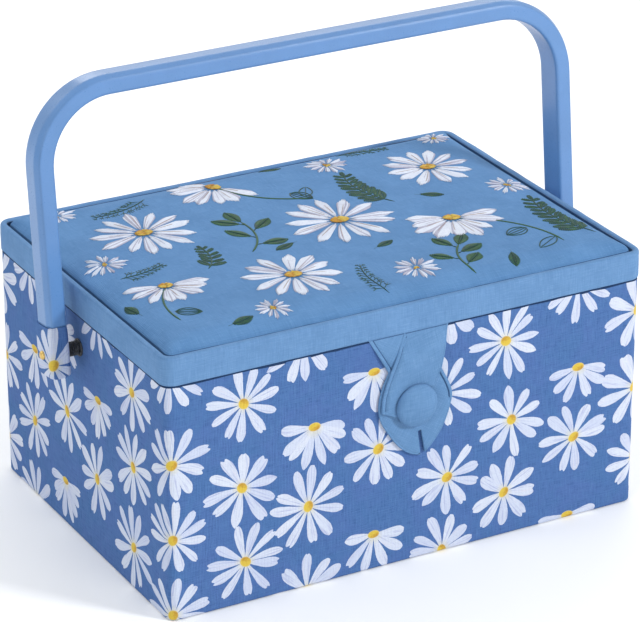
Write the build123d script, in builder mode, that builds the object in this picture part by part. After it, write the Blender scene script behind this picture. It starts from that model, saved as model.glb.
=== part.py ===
"""Fabric covered sewing box with a padded embroidered lid, a button-and-loop
closure, a swinging moulded bail handle and a lift-out tray.

Frame: millimetres. X is the width, with a handle pivot on each side wall.
Y is the depth, with the closure at -Y and the fabric hinge at +Y. Z is up.
Origin: centre of the underside, on the surface that the box stands on.
"""

import os
from math import asin, cos, radians, sin

from build123d import *

os.makedirs("parts", exist_ok=True)

# ---------------------------------------------------------------- body
body_x = 130.0  # half width over the outer fabric
body_y = 93.0  # half depth over the outer fabric
body_top = 122.4  # top of the covered walls
body_r = 5.0  # vertical corner radius over the fabric
cover_t = 0.9  # outer fabric with its thin wadding
gap = 0.05  # bedding gap between glued layers
board_t = 3.0  # wall boards
base_cover_t = 0.9
base_board_t = 2.4
lining_t = 0.8
base_lining_t = 2.0  # fabric covered card laid on the base board

wall_x = body_x - cover_t - gap  # outer faces of the wall boards
wall_y = body_y - cover_t - gap
wall_r = body_r - cover_t
inner_x = wall_x - board_t  # inner faces of the wall boards
inner_y = wall_y - board_t
wall_z0 = base_cover_t + gap + base_board_t + gap
wall_top = body_top - 0.9
lining_x = inner_x - gap
lining_y = inner_y - gap
ret = 1.1  # short return of the end boards round the corner

# ---------------------------------------------------------------- tray
ledge_t = 7.6
ledge_h = 14.0
ledge_len = 150.0
tray_z0 = 80.1  # underside of the tray
tray_z1 = 112.0  # top of its lip
tray_bot_x = 119.4
tray_bot_y = 82.9
tray_draft = 2.5  # degrees
tray_wall = 1.8
tray_lip_x = 122.3
tray_lip_y = 86.0
tray_lip_t = 1.6

# ---------------------------------------------------------------- lid
lid_x = 130.9
lid_y = 93.9
lid_r = 7.0
lid_z0 = 122.9  # underside of the rim
rim_top = 137.0  # top edge of the rim, level with the groove
rim_cover_t = 0.8
rim_t = 2.5  # rim boards
rim_lip = 3.3  # turned-in fabric at the rim's top and bottom
crown_top = 140.8
lid_board_z0 = 131.0
lid_board_t = 2.4

rim_x = lid_x - rim_cover_t - gap
rim_y = lid_y - rim_cover_t - gap
rim_r = lid_r - rim_cover_t
rim_in_x = rim_x - rim_t
rim_in_y = rim_y - rim_t

# ---------------------------------------------------------------- closure
button_z = 84.8
button_r = 11.5
button_back = 96.2  # distance of the head's underside in front of the centre
button_front = 101.2
strap_t = 1.2
strap_under_y = 93.4
strap_over_y = 94.75
strap_top = 122.5
loop_hole_r = 9.2

# ---------------------------------------------------------------- handle
pivot_z = 105.4
tilt = 6.0  # degrees that the bail leans back at rest
bail_x = 148.1  # half width over the bail
bail_h = 132.5  # pivot to the top of the bail, along the bail
bail_t = 9.4
bail_w = 15.6
bail_r = 41.0  # outer bend radius
bail_cut_x = 1.7  # sloped flanks along the bail's outer side
bail_cut_y = 3.2
leg_h0 = 15.0  # lower end of the moulded legs
tongue_x0 = 142.4
tongue_t = 2.0
tongue_w = 12.0
tongue_h0 = -10.5
tongue_h1 = 27.0
sleeve_x0 = 137.9
sleeve_t = 11.0
sleeve_w = 16.4
sleeve_h0 = -11.8
sleeve_h1 = 14.9
stud_r = 2.2  # brass stud over the pivot on each sleeve's outer face
stud_h = 1.5
pin_r = 2.45
bush_r = 2.5
bush_outer_r = 4.0
plate_half = 11.5
plate_t = 1.2
rivet_at = 8.2  # offset of the plate's rivets along Y and Z
rivet_r = 1.2
rivet_head_r = 2.0  # head set into the board, under the outer fabric
rivet_sink = 0.85
flange_r = 5.4  # bush flange on the outer fabric
flange_t = 0.9
spacer_r = 3.6
spacer_ribs = 5
spacer_groove = 0.5

up = (0.0, sin(radians(tilt)), cos(radians(tilt)))
front = (0.0, -cos(radians(tilt)), sin(radians(tilt)))
# Local X is the box's X, local Y runs up the bail, and the normal faces front.
bail_plane = Plane(origin=(0, 0, pivot_z), x_dir=(1, 0, 0), z_dir=front)
rivet_points = [(-rivet_at, pivot_z + rivet_at), (rivet_at, pivot_z - rivet_at)]


def cap_mid(a, h):
    """Middle point of a spherical cap's profile: cap radius a, cap height h."""
    r = (a * a + h * h) / (2 * h)
    half = asin(a / r) / 2
    return r * sin(half), h - r + r * cos(half)


def save(part, name):
    part.label = name
    export_step(part, "parts/" + name + ".step")


# ================================================================ BODY
with BuildPart() as base_cover:
    with BuildSketch():
        RectangleRounded(2 * (wall_x - gap), 2 * (wall_y - gap), wall_r - gap)
    extrude(amount=base_cover_t)
save(base_cover.part, "base_cover")

with BuildPart() as base_board:
    with BuildSketch(Plane.XY.offset(base_cover_t + gap)):
        RectangleRounded(2 * (wall_x - gap), 2 * (wall_y - gap), wall_r - gap)
    extrude(amount=base_board_t)
save(base_board.part, "base_board")

# The four wall boards are slices of one rounded ring. The end boards carry the
# rounded corners, and the long boards butt between them.
with BuildPart() as left_wall_board:
    with BuildSketch(Plane.XY.offset(wall_z0)):
        RectangleRounded(2 * wall_x, 2 * wall_y, wall_r)
        RectangleRounded(2 * inner_x, 2 * inner_y, wall_r - board_t, mode=Mode.SUBTRACT)
        with Locations((-wall_x + (board_t + ret) / 2, 0)):
            Rectangle(board_t + ret, 2 * body_y, mode=Mode.INTERSECT)
    extrude(amount=wall_top - wall_z0)
    with BuildSketch(Plane.YZ.offset(-wall_x - 1)):
        with Locations((0, pivot_z)):
            Circle(bush_outer_r + gap)
        with Locations(*rivet_points):
            Circle(rivet_r + gap)
    extrude(amount=board_t + 2, mode=Mode.SUBTRACT)
    with BuildSketch(Plane.YZ.offset(-wall_x)):
        with Locations(*rivet_points):
            Circle(rivet_head_r + gap)
    extrude(amount=rivet_sink, mode=Mode.SUBTRACT)
save(left_wall_board.part, "left_wall_board")

with BuildPart() as right_wall_board:
    with BuildSketch(Plane.XY.offset(wall_z0)):
        RectangleRounded(2 * wall_x, 2 * wall_y, wall_r)
        RectangleRounded(2 * inner_x, 2 * inner_y, wall_r - board_t, mode=Mode.SUBTRACT)
        with Locations((wall_x - (board_t + ret) / 2, 0)):
            Rectangle(board_t + ret, 2 * body_y, mode=Mode.INTERSECT)
    extrude(amount=wall_top - wall_z0)
    with BuildSketch(Plane.YZ.offset(inner_x - 1)):
        with Locations((0, pivot_z)):
            Circle(bush_outer_r + gap)
        with Locations(*rivet_points):
            Circle(rivet_r + gap)
    extrude(amount=board_t + 2, mode=Mode.SUBTRACT)
    with BuildSketch(Plane.YZ.offset(wall_x - rivet_sink)):
        with Locations(*rivet_points):
            Circle(rivet_head_r + gap)
    extrude(amount=rivet_sink + 0.5, mode=Mode.SUBTRACT)
save(right_wall_board.part, "right_wall_board")

with BuildPart() as front_wall_board:
    with BuildSketch(Plane.XY.offset(wall_z0)):
        with Locations((0, -wall_y + board_t / 2)):
            Rectangle(2 * (wall_x - board_t - ret - gap), board_t)
    extrude(amount=wall_top - wall_z0)
    with BuildSketch(Plane.XZ.offset(inner_y - 1)):
        with Locations((0, button_z)):
            Circle(2.0 + gap)
    extrude(amount=board_t + 2, mode=Mode.SUBTRACT)
save(front_wall_board.part, "front_wall_board")

with BuildPart() as back_wall_board:
    with BuildSketch(Plane.XY.offset(wall_z0)):
        with Locations((0, wall_y - board_t / 2)):
            Rectangle(2 * (wall_x - board_t - ret - gap), board_t)
    extrude(amount=wall_top - wall_z0)
save(back_wall_board.part, "back_wall_board")

# Printed outer fabric: a tube round the four walls, turned over their top edge.
with BuildPart() as body_cover:
    with BuildSketch(Plane.XY.offset(0.25)):
        RectangleRounded(2 * body_x, 2 * body_y, body_r)
        RectangleRounded(2 * (body_x - cover_t), 2 * (body_y - cover_t), body_r - cover_t, mode=Mode.SUBTRACT)
    extrude(amount=wall_top + gap - 0.25)
    with BuildSketch(Plane.XY.offset(wall_top + gap)):
        RectangleRounded(2 * body_x, 2 * body_y, body_r)
        RectangleRounded(2 * (lining_x - lining_t), 2 * (lining_y - lining_t), 0.4, mode=Mode.SUBTRACT)
    extrude(amount=body_top - wall_top - gap)
    with BuildSketch(Plane.YZ.offset(-body_x - 1)):
        with Locations((0, pivot_z)):
            Circle(bush_outer_r + gap)
    extrude(amount=2 * body_x + 2, mode=Mode.SUBTRACT)
    with BuildSketch(Plane.XZ.offset(body_y - 5)):
        with Locations((0, button_z)):
            Circle(2.0 + gap)
    extrude(amount=10, mode=Mode.SUBTRACT)
save(body_cover.part, "body_cover")

with BuildPart() as base_lining:
    with BuildSketch(Plane.XY.offset(wall_z0)):
        RectangleRounded(2 * lining_x, 2 * lining_y, 1.1)
    extrude(amount=base_lining_t)
save(base_lining.part, "base_lining")
floor_z = wall_z0 + base_lining_t

with BuildPart() as wall_lining:
    with BuildSketch(Plane.XY.offset(floor_z + gap)):
        RectangleRounded(2 * lining_x, 2 * lining_y, 1.1)
        RectangleRounded(2 * (lining_x - lining_t), 2 * (lining_y - lining_t), 0.4, mode=Mode.SUBTRACT)
    extrude(amount=wall_top - floor_z - gap)
    with BuildSketch(Plane.YZ.offset(-body_x - 1)):
        with Locations((0, pivot_z)):
            Circle(bush_outer_r + gap)
        with Locations(*rivet_points):
            Circle(rivet_r + gap)
    extrude(amount=2 * body_x + 2, mode=Mode.SUBTRACT)
    with BuildSketch(Plane.XZ.offset(body_y - 8)):
        with Locations((0, button_z)):
            Circle(2.0 + gap)
    extrude(amount=10, mode=Mode.SUBTRACT)
save(wall_lining.part, "wall_lining")

# ================================================================ TRAY
ledge_x = lining_x - lining_t - gap - ledge_t / 2
with BuildPart() as tray_ledge_left:
    with BuildSketch(Plane.XY.offset(tray_z0 - 0.1 - ledge_h)):
        with Locations((-ledge_x, 0)):
            Rectangle(ledge_t, ledge_len)
    extrude(amount=ledge_h)
    fillet(tray_ledge_left.edges().filter_by(Axis.Y).group_by(Axis.X)[-1], 1.0)
save(tray_ledge_left.part, "tray_ledge_left")

with BuildPart() as tray_ledge_right:
    with BuildSketch(Plane.XY.offset(tray_z0 - 0.1 - ledge_h)):
        with Locations((ledge_x, 0)):
            Rectangle(ledge_t, ledge_len)
    extrude(amount=ledge_h)
    fillet(tray_ledge_right.edges().filter_by(Axis.Y).group_by(Axis.X)[0], 1.0)
save(tray_ledge_right.part, "tray_ledge_right")

# Moulded tray: a shell with draft and a rolled lip. Seven welded-in dividers
# make eight compartments in three rows.
cell_w4 = (237.0 - 3 * tray_wall) / 4
cell_w2 = (237.0 - tray_wall) / 2
tray_in_x = 118.5  # half width inside
tray_in_y0 = -81.0
tray_in_y1 = 81.8
row_front_y = -26.5  # centre lines of the two long dividers
row_back_y = 28.1
divider_z0 = tray_z0 + tray_wall + gap
divider_z1 = tray_z1 - 2.0
with BuildPart() as tray:
    with BuildSketch(Plane.XY.offset(tray_z0)):
        RectangleRounded(2 * tray_bot_x, 2 * tray_bot_y, 6.0)
    extrude(amount=tray_z1 - tray_z0, taper=-tray_draft)
    with BuildSketch(Plane.XY.offset(tray_z1 - tray_lip_t)):
        RectangleRounded(2 * tray_lip_x, 2 * tray_lip_y, 7.0)
    extrude(amount=tray_lip_t)
    fillet(tray.edges().group_by(Axis.Z)[0], 1.5)
    with BuildSketch(Plane.XY.offset(tray_z0 + tray_wall)):
        with Locations((0, (tray_in_y0 + tray_in_y1) / 2)):
            RectangleRounded(2 * tray_in_x, tray_in_y1 - tray_in_y0, 2.5)
    extrude(amount=tray_z1 - tray_z0, mode=Mode.SUBTRACT)
save(tray.part, "tray")

divider_c = 0.6  # chamfer at each divider's lower end corners
for name, row_y in (("tray_divider_long_front", row_front_y), ("tray_divider_long_back", row_back_y)):
    with BuildPart() as long_divider:
        with BuildSketch(Plane.XZ.offset(-row_y)):
            with BuildLine():
                Polyline(
                    (-tray_in_x + gap, divider_z1),
                    (-tray_in_x + gap, divider_z0 + divider_c),
                    (-tray_in_x + gap + divider_c, divider_z0),
                    (tray_in_x - gap - divider_c, divider_z0),
                    (tray_in_x - gap, divider_z0 + divider_c),
                    (tray_in_x - gap, divider_z1),
                    close=True,
                )
            make_face()
        extrude(amount=tray_wall / 2, both=True)
    save(long_divider.part, name)

step4 = cell_w4 + tray_wall
x4 = -tray_in_x + cell_w4 + tray_wall / 2  # centre line of the first of four
back_y0, back_y1 = row_back_y + tray_wall / 2 + gap, tray_in_y1 - gap
middle_y0, middle_y1 = row_front_y + tray_wall / 2 + gap, row_back_y - tray_wall / 2 - gap
front_y0, front_y1 = tray_in_y0 + gap, row_front_y - tray_wall / 2 - gap
for name, dx, y0, y1 in (
    ("tray_divider_back_left", x4, back_y0, back_y1),
    ("tray_divider_back_middle", x4 + step4, back_y0, back_y1),
    ("tray_divider_back_right", x4 + 2 * step4, back_y0, back_y1),
    ("tray_divider_middle", 0.0, middle_y0, middle_y1),
    ("tray_divider_front", x4 + 2 * step4, front_y0, front_y1),
):
    with BuildPart() as short_divider:
        with BuildSketch(Plane.YZ.offset(dx)):
            with BuildLine():
                Polyline(
                    (y0, divider_z1),
                    (y0, divider_z0 + divider_c),
                    (y0 + divider_c, divider_z0),
                    (y1 - divider_c, divider_z0),
                    (y1, divider_z0 + divider_c),
                    (y1, divider_z1),
                    close=True,
                )
            make_face()
        extrude(amount=tray_wall / 2, both=True)
    save(short_divider.part, name)

# ================================================================ BUTTON
button_axis = Axis((0, 0, button_z), (0, 1, 0))
with BuildPart() as button_head:
    with BuildSketch(Plane.XY.offset(button_z)):
        with BuildLine():
            b1 = Line((0, -button_back), (button_r - 1.4, -button_back))
            b2 = ThreePointArc(b1 @ 1, (button_r, -button_back - 1.2), (button_r - 0.9, -button_back - 2.5))
            dome_a = button_r - 0.9
            dome_h = button_front - button_back - 2.5
            dome_m = cap_mid(dome_a, dome_h)
            b3 = ThreePointArc(b2 @ 1, (dome_m[0], -button_back - 2.5 - dome_m[1]), (0, -button_front))
            Line(b3 @ 1, b1 @ 0)
        make_face()
    revolve(axis=button_axis)
save(button_head.part, "button_head")

back_y = lining_y - lining_t - gap  # inner side of the front wall's lining
with BuildPart() as button_shank:
    with BuildSketch(Plane.XY.offset(button_z)):
        with BuildLine():
            Polyline(
                (0, -button_back + gap),
                (4.2, -button_back + gap),
                (3.4, -body_y - 0.1),
                (2.0, -body_y - 0.1),
                (2.0, -back_y + 1.15),
                (3.2, -back_y + 1.15),
                (2.6, -back_y + 1.75),
                (0, -back_y + 1.75),
                close=True,
            )
        make_face()
    revolve(axis=button_axis)
save(button_shank.part, "button_shank")

with BuildPart() as button_backing:
    with BuildSketch(Plane.XZ.offset(back_y - 1.1)):
        with Locations((0, button_z)):
            Circle(7.0)
            Circle(2.0 + gap, mode=Mode.SUBTRACT)
    extrude(amount=1.1)
save(button_backing.part, "button_backing")

# ================================================================ PIVOT HARDWARE ON THE WALLS
# The plates lie on the lining inside the box, so the outer fabric stays whole
# but for the bushes.
lining_in = lining_x - lining_t
plate_x0 = lining_in - gap - plate_t
with BuildPart() as pivot_plates:
    for sx in (-1, 1):
        with BuildSketch(Plane.YZ.offset(sx * (plate_x0 + plate_t / 2))):
            with Locations((0, pivot_z)):
                RectangleRounded(2 * plate_half, 2 * plate_half, 3.0)
                Circle(bush_outer_r + gap, mode=Mode.SUBTRACT)
            with Locations(*rivet_points):
                Circle(rivet_r + gap, mode=Mode.SUBTRACT)
        extrude(amount=plate_t / 2, both=True)
save(pivot_plates.part, "pivot_plates")

with BuildPart() as plate_rivets:
    for sx in (-1, 1):
        for ry, rz in rivet_points:
            with BuildSketch(Plane.XY.offset(rz)):
                with BuildLine():
                    dome_m = cap_mid(2.2, 0.6)
                    r1 = Polyline(
                        (sx * (wall_x - gap), ry),
                        (sx * (wall_x - gap), ry + rivet_head_r),
                        (sx * (wall_x - rivet_sink + gap), ry + rivet_head_r),
                        (sx * (wall_x - rivet_sink + gap), ry + rivet_r),
                        (sx * (plate_x0 - 0.05), ry + rivet_r),
                        (sx * (plate_x0 - 0.05), ry + 2.3),
                        (sx * (plate_x0 - 0.25), ry + 2.2),
                    )
                    r2 = ThreePointArc(
                        r1 @ 1, (sx * (plate_x0 - 0.25 - dome_m[1]), ry + dome_m[0]), (sx * (plate_x0 - 0.85), ry)
                    )
                    Line(r2 @ 1, r1 @ 0)
                make_face()
            revolve(axis=Axis((0, ry, rz), (1, 0, 0)))
save(plate_rivets.part, "plate_rivets")

bush_x0 = plate_x0 - 0.3
flange_x0 = body_x + 0.05
with BuildPart() as pivot_bushes:
    for sx in (-1, 1):
        with BuildSketch(Plane.YZ.offset(sx * (flange_x0 + flange_t / 2))):
            with Locations((0, pivot_z)):
                Circle(flange_r)
                Circle(bush_r, mode=Mode.SUBTRACT)
        extrude(amount=flange_t / 2, both=True)
        with BuildSketch(Plane.YZ.offset(sx * (bush_x0 + flange_x0 + flange_t) / 2)):
            with Locations((0, pivot_z)):
                Circle(bush_outer_r)
                Circle(bush_r, mode=Mode.SUBTRACT)
        extrude(amount=(flange_x0 + flange_t - bush_x0) / 2, both=True)
save(pivot_bushes.part, "pivot_bushes")

# ================================================================ HANDLE
bail_c = bail_x - bail_t / 2  # centre line of the moulding
bail_ch = bail_h - bail_t / 2
with BuildPart() as handle_bail:
    with BuildLine(bail_plane) as bail_path:
        FilletPolyline(
            (-bail_c, leg_h0),
            (-bail_c, bail_ch),
            (bail_c, bail_ch),
            (bail_c, leg_h0),
            radius=bail_r - bail_t / 2,
        )
    with BuildSketch(Plane(origin=bail_path.line @ 0, x_dir=(-1, 0, 0), z_dir=up)):
        with BuildLine():
            Polyline(
                (-bail_t / 2, -bail_w / 2),
                (bail_t / 2 - bail_cut_x, -bail_w / 2),
                (bail_t / 2, -bail_w / 2 + bail_cut_y),
                (bail_t / 2, bail_w / 2 - bail_cut_y),
                (bail_t / 2 - bail_cut_x, bail_w / 2),
                (-bail_t / 2, bail_w / 2),
                close=True,
            )
        bail_face = make_face()
        fillet(bail_face.vertices().group_by(Axis.X)[0], 1.2)
        fillet(bail_face.vertices().group_by(Axis.X)[1], 1.5)
        fillet(bail_face.vertices().group_by(Axis.X)[-1], 2.4)
    sweep(path=bail_path.line)
    # Blind slots in the leg ends, which the steel tongues are bonded into.
    for sx in (-1, 1):
        with BuildSketch(Plane(origin=bail_plane.from_local_coords((0, leg_h0 - 0.5, 0)), x_dir=(1, 0, 0), z_dir=up)):
            with Locations((sx * (tongue_x0 + tongue_t / 2), 0)):
                Rectangle(tongue_t + 2 * gap, tongue_w + 2 * gap)
        extrude(amount=tongue_h1 - leg_h0 + 0.5 + gap, mode=Mode.SUBTRACT)
save(handle_bail.part, "handle_bail")

for side, sx in (("left", -1), ("right", 1)):
    with BuildPart() as foot_tongue:
        with BuildSketch(Plane(origin=(sx * (tongue_x0 + tongue_t / 2), 0, pivot_z), x_dir=front, z_dir=(-1, 0, 0))):
            with Locations((0, (tongue_h0 + tongue_h1) / 2)):
                RectangleRounded(tongue_w, tongue_h1 - tongue_h0, 2.5)
            Circle(pin_r + 0.02, mode=Mode.SUBTRACT)
        extrude(amount=tongue_t / 2, both=True)
    save(foot_tongue.part, "foot_tongue_" + side)

    # Fabric sleeve drawn over the tongue below the moulded leg, closed at the foot.
    with BuildPart() as foot_sleeve:
        with BuildSketch(Plane(origin=(sx * (sleeve_x0 + sleeve_t / 2), 0, pivot_z), x_dir=front, z_dir=(-1, 0, 0))):
            with Locations((0, (sleeve_h0 + sleeve_h1) / 2)):
                RectangleRounded(sleeve_w, sleeve_h1 - sleeve_h0, 3.0)
        extrude(amount=sleeve_t / 2, both=True)
        with BuildSketch(Plane(origin=(sx * (tongue_x0 + tongue_t / 2), 0, pivot_z), x_dir=front, z_dir=(-1, 0, 0))):
            with Locations((0, (tongue_h0 - gap + tongue_h1) / 2)):
                Rectangle(tongue_w + 2 * gap, tongue_h1 - tongue_h0 + gap)
        extrude(amount=tongue_t / 2 + gap, both=True, mode=Mode.SUBTRACT)
        with BuildSketch(Plane.YZ.offset(sx * (sleeve_x0 - 0.5))):
            with Locations((0, pivot_z)):
                Circle(pin_r + 0.15)
        extrude(amount=sx * (tongue_x0 - sleeve_x0 + 0.6), mode=Mode.SUBTRACT)
        # Hole for the stud that pins the sleeve's outer face.
        with BuildSketch(Plane.YZ.offset(sx * (sleeve_x0 + sleeve_t + 0.5))):
            with Locations((0, pivot_z)):
                Circle(0.85)
        extrude(amount=-sx * 1.9, mode=Mode.SUBTRACT)
    save(foot_sleeve.part, "foot_sleeve_" + side)

# Small domed brass studs in the sleeves' outer faces, over the pivots.
with BuildPart() as sleeve_studs:
    for sx in (-1, 1):
        with BuildSketch(Plane.YZ.offset(sx * (sleeve_x0 + sleeve_t + 0.05))):
            with Locations((0, pivot_z)):
                Circle(0.8)
        extrude(amount=-sx * 1.2)
        with BuildSketch(Plane.YZ.offset(sx * (sleeve_x0 + sleeve_t + 0.05))):
            with Locations((0, pivot_z)):
                Circle(stud_r)
        extrude(amount=sx * stud_h)
    fillet(sleeve_studs.edges().filter_by(GeomType.CIRCLE).group_by(Axis.X)[0], 1.2)
    fillet(sleeve_studs.edges().filter_by(GeomType.CIRCLE).group_by(Axis.X)[-1], 1.2)
save(sleeve_studs.part, "sleeve_studs")

spacer_x0 = flange_x0 + flange_t + 0.25
spacer_x1 = sleeve_x0 - gap
spacer_pitch = (spacer_x1 - spacer_x0) / spacer_ribs
spacer_points = [(spacer_x0, pin_r + 0.02), (spacer_x0, spacer_r - spacer_groove)]
for i in range(spacer_ribs):
    x = spacer_x0 + i * spacer_pitch
    spacer_points += [(x + 0.3 * spacer_pitch, spacer_r), (x + 0.7 * spacer_pitch, spacer_r)]
    spacer_points.append((x + spacer_pitch, spacer_r - spacer_groove))
spacer_points.append((spacer_x1, pin_r + 0.02))
# Ribbed spacers round the pins, between the wall and the foot.
with BuildPart() as pivot_spacers:
    for sx in (-1, 1):
        with BuildSketch(Plane.XY.offset(pivot_z)):
            with BuildLine():
                Polyline(*[(sx * px, pr) for px, pr in spacer_points], close=True)
            make_face()
        revolve(axis=Axis((0, 0, pivot_z), (1, 0, 0)))
save(pivot_spacers.part, "pivot_spacers")

washer_x1 = bush_x0 - 0.3
washer_x0 = washer_x1 - 0.9
with BuildPart() as pivot_pins:
    for sx in (-1, 1):
        with BuildSketch(Plane.YZ.offset(sx * (washer_x0 - 0.5 + tongue_x0 + tongue_t) / 2)):
            with Locations((0, pivot_z)):
                Circle(pin_r)
        extrude(amount=(tongue_x0 + tongue_t - washer_x0 + 0.5) / 2, both=True)
save(pivot_pins.part, "pivot_pins")

with BuildPart() as retaining_washers:
    for sx in (-1, 1):
        with BuildSketch(Plane.YZ.offset(sx * (washer_x0 + washer_x1) / 2)):
            with Locations((0, pivot_z)):
                Circle(5.0)
                Circle(pin_r + 0.02, mode=Mode.SUBTRACT)
        extrude(amount=(washer_x1 - washer_x0) / 2, both=True)
save(retaining_washers.part, "retaining_washers")

# ================================================================ LID
with BuildPart() as lid_rim_cover:
    with BuildSketch(Plane.XY.offset(lid_z0)):
        RectangleRounded(2 * lid_x, 2 * lid_y, lid_r)
        RectangleRounded(2 * (lid_x - rim_lip), 2 * (lid_y - rim_lip), lid_r - rim_lip, mode=Mode.SUBTRACT)
    extrude(amount=rim_top - lid_z0)
    with BuildSketch(Plane.XY.offset(lid_z0 + rim_cover_t - 0.05)):
        RectangleRounded(2 * (lid_x - rim_cover_t), 2 * (lid_y - rim_cover_t), lid_r - rim_cover_t)
    extrude(amount=rim_top - lid_z0 - 2 * rim_cover_t + 0.1, mode=Mode.SUBTRACT)
    fillet(lid_rim_cover.edges().group_by(Axis.Z)[-1].sort_by(SortBy.LENGTH)[-4:], 0.6)
save(lid_rim_cover.part, "lid_rim_cover")

rim_z0 = lid_z0 + rim_cover_t
rim_z1 = rim_top - rim_cover_t
rim_split = rim_x - rim_r  # the end boards carry the rounded corners
for name, sx in (("lid_left_rim_board", -1), ("lid_right_rim_board", 1)):
    with BuildPart() as rim_end:
        with BuildSketch(Plane.XY.offset(rim_z0)):
            RectangleRounded(2 * rim_x, 2 * rim_y, rim_r)
            RectangleRounded(2 * rim_in_x, 2 * rim_in_y, rim_r - rim_t, mode=Mode.SUBTRACT)
            with Locations((sx * (rim_x + rim_split) / 2, 0)):
                Rectangle(rim_r, 2 * lid_y, mode=Mode.INTERSECT)
        extrude(amount=rim_z1 - rim_z0)
    save(rim_end.part, name)
for name, sy in (("lid_front_rim_board", -1), ("lid_back_rim_board", 1)):
    with BuildPart() as rim_long:
        with BuildSketch(Plane.XY.offset(rim_z0)):
            with Locations((0, sy * (rim_y - rim_t / 2))):
                Rectangle(2 * (rim_split - gap), rim_t)
        extrude(amount=rim_z1 - rim_z0)
    save(rim_long.part, name)

with BuildPart() as lid_board:
    with BuildSketch(Plane.XY.offset(lid_board_z0)):
        RectangleRounded(2 * (rim_in_x - gap), 2 * (rim_in_y - gap), rim_r - rim_t)
    extrude(amount=lid_board_t)
save(lid_board.part, "lid_board")

pad_z0 = lid_board_z0 + lid_board_t + gap
with BuildPart() as lid_padding:
    with BuildSketch(Plane.XY.offset(pad_z0)):
        RectangleRounded(2 * (rim_in_x - 1.1), 2 * (rim_in_y - 1.1), rim_r - rim_t)
    extrude(amount=crown_top - 0.95 - pad_z0)
    fillet(lid_padding.edges().group_by(Axis.Z)[-1], 3.4)
save(lid_padding.part, "lid_padding")

# Embroidered top fabric, drawn over the padding and down inside the rim.
with BuildPart() as lid_top_panel:
    with BuildSketch(Plane.XY.offset(pad_z0)):
        RectangleRounded(2 * (rim_in_x - 0.15), 2 * (rim_in_y - 0.15), rim_r - rim_t + 0.9)
    extrude(amount=crown_top - pad_z0)
    fillet(lid_top_panel.edges().group_by(Axis.Z)[-1], 4.0)
    with BuildPart(mode=Mode.PRIVATE) as pad_space:
        with BuildSketch(Plane.XY.offset(pad_z0 - 0.5)):
            RectangleRounded(2 * (rim_in_x - 1.05), 2 * (rim_in_y - 1.05), rim_r - rim_t)
        extrude(amount=crown_top - 0.9 - pad_z0 + 0.5)
        fillet(pad_space.edges().group_by(Axis.Z)[-1], 3.4)
    add(pad_space.part, mode=Mode.SUBTRACT)
save(lid_top_panel.part, "lid_top_panel")

with BuildPart() as lid_lining:
    with BuildSketch(Plane.XY.offset(lid_board_z0 - gap - 1.0)):
        RectangleRounded(2 * (rim_in_x - 0.3), 2 * (rim_in_y - 0.3), rim_r - rim_t)
    extrude(amount=1.0)
save(lid_lining.part, "lid_lining")
lid_under = lid_board_z0 - gap - 1.0

with BuildPart() as pin_cushion:
    with BuildSketch(Plane.XY.offset(lid_under - 0.1 - 11.0)):
        with Locations((-64, 0)):
            RectangleRounded(88, 66, 8)
    extrude(amount=11.0)
    fillet(pin_cushion.edges().group_by(Axis.Z)[0], 5.0)
save(pin_cushion.part, "pin_cushion")

# Flat pouch on the lid's lining, open towards the front edge of the lid.
pouch_x0, pouch_x1 = 4.0, 118.0
pouch_y0, pouch_y1 = -62.0, 66.0
pouch_z0 = lid_under - 0.1 - 6.0
with BuildPart() as lid_pocket:
    with BuildSketch(Plane.XY.offset(pouch_z0)):
        with Locations(((pouch_x0 + pouch_x1) / 2, (pouch_y0 + pouch_y1) / 2)):
            Rectangle(pouch_x1 - pouch_x0, pouch_y1 - pouch_y0)
    extrude(amount=6.0)
    with BuildSketch(Plane.XY.offset(pouch_z0 + 1.0)):
        with Locations(((pouch_x0 + pouch_x1) / 2, (pouch_y0 + pouch_y1) / 2 - 2.0)):
            Rectangle(pouch_x1 - pouch_x0 - 2.4, pouch_y1 - pouch_y0 + 1.6)
    extrude(amount=6.0, mode=Mode.SUBTRACT)
save(lid_pocket.part, "lid_pocket")

with BuildPart() as pocket_elastic:
    with BuildSketch(Plane.XY.offset(pouch_z0 - gap - 0.7)):
        with Locations(((pouch_x0 + pouch_x1) / 2, pouch_y0 + 4.0)):
            Rectangle(pouch_x1 - pouch_x0, 7.0)
    extrude(amount=0.7)
save(pocket_elastic.part, "pocket_elastic")

# ================================================================ FABRIC HINGE
hinge_half = 122.0
with BuildPart() as hinge_tape:
    with BuildSketch(Plane.YZ.offset(-hinge_half)):
        with BuildLine():
            Polyline(
                (body_y + 0.05, 110.0),
                (body_y + 0.05, 121.5),
                (lid_y + 0.05, 122.6),
                (lid_y + 0.05, 133.0),
                (lid_y + 0.6, 133.0),
                (lid_y + 0.6, 122.4),
                (body_y + 0.6, 121.3),
                (body_y + 0.6, 110.0),
                close=True,
            )
        make_face()
    extrude(amount=2 * hinge_half)
save(hinge_tape.part, "hinge_tape")

# ================================================================ CLOSURE LOOP
# One folded strip of lid fabric. The under part falls from the left, crosses
# behind, and runs round the button. The over part comes down from the right.
with BuildPart() as closure_strap_under:
    with BuildSketch(Plane.XZ.offset(strap_under_y)):
        with BuildLine():
            Polyline(
                (-25.0, strap_top),
                (-14.2, 103.8),
                (-17.4, 97.6),
                (-19.6, 88.0),
                (-18.4, 80.5),
                (-13.6, 71.8),
                (-6.9, 63.4),
                (1.5, 57.2),
                (9.8, 59.6),
                (16.9, 68.4),
                (20.8, 78.5),
                (21.6, 87.0),
                (14.8, 101.0),
                (-3.0, strap_top),
                close=True,
            )
        make_face()
        with Locations((0, button_z)):
            Circle(loop_hole_r, mode=Mode.SUBTRACT)
    extrude(amount=strap_t)
save(closure_strap_under.part, "closure_strap_under")

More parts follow.
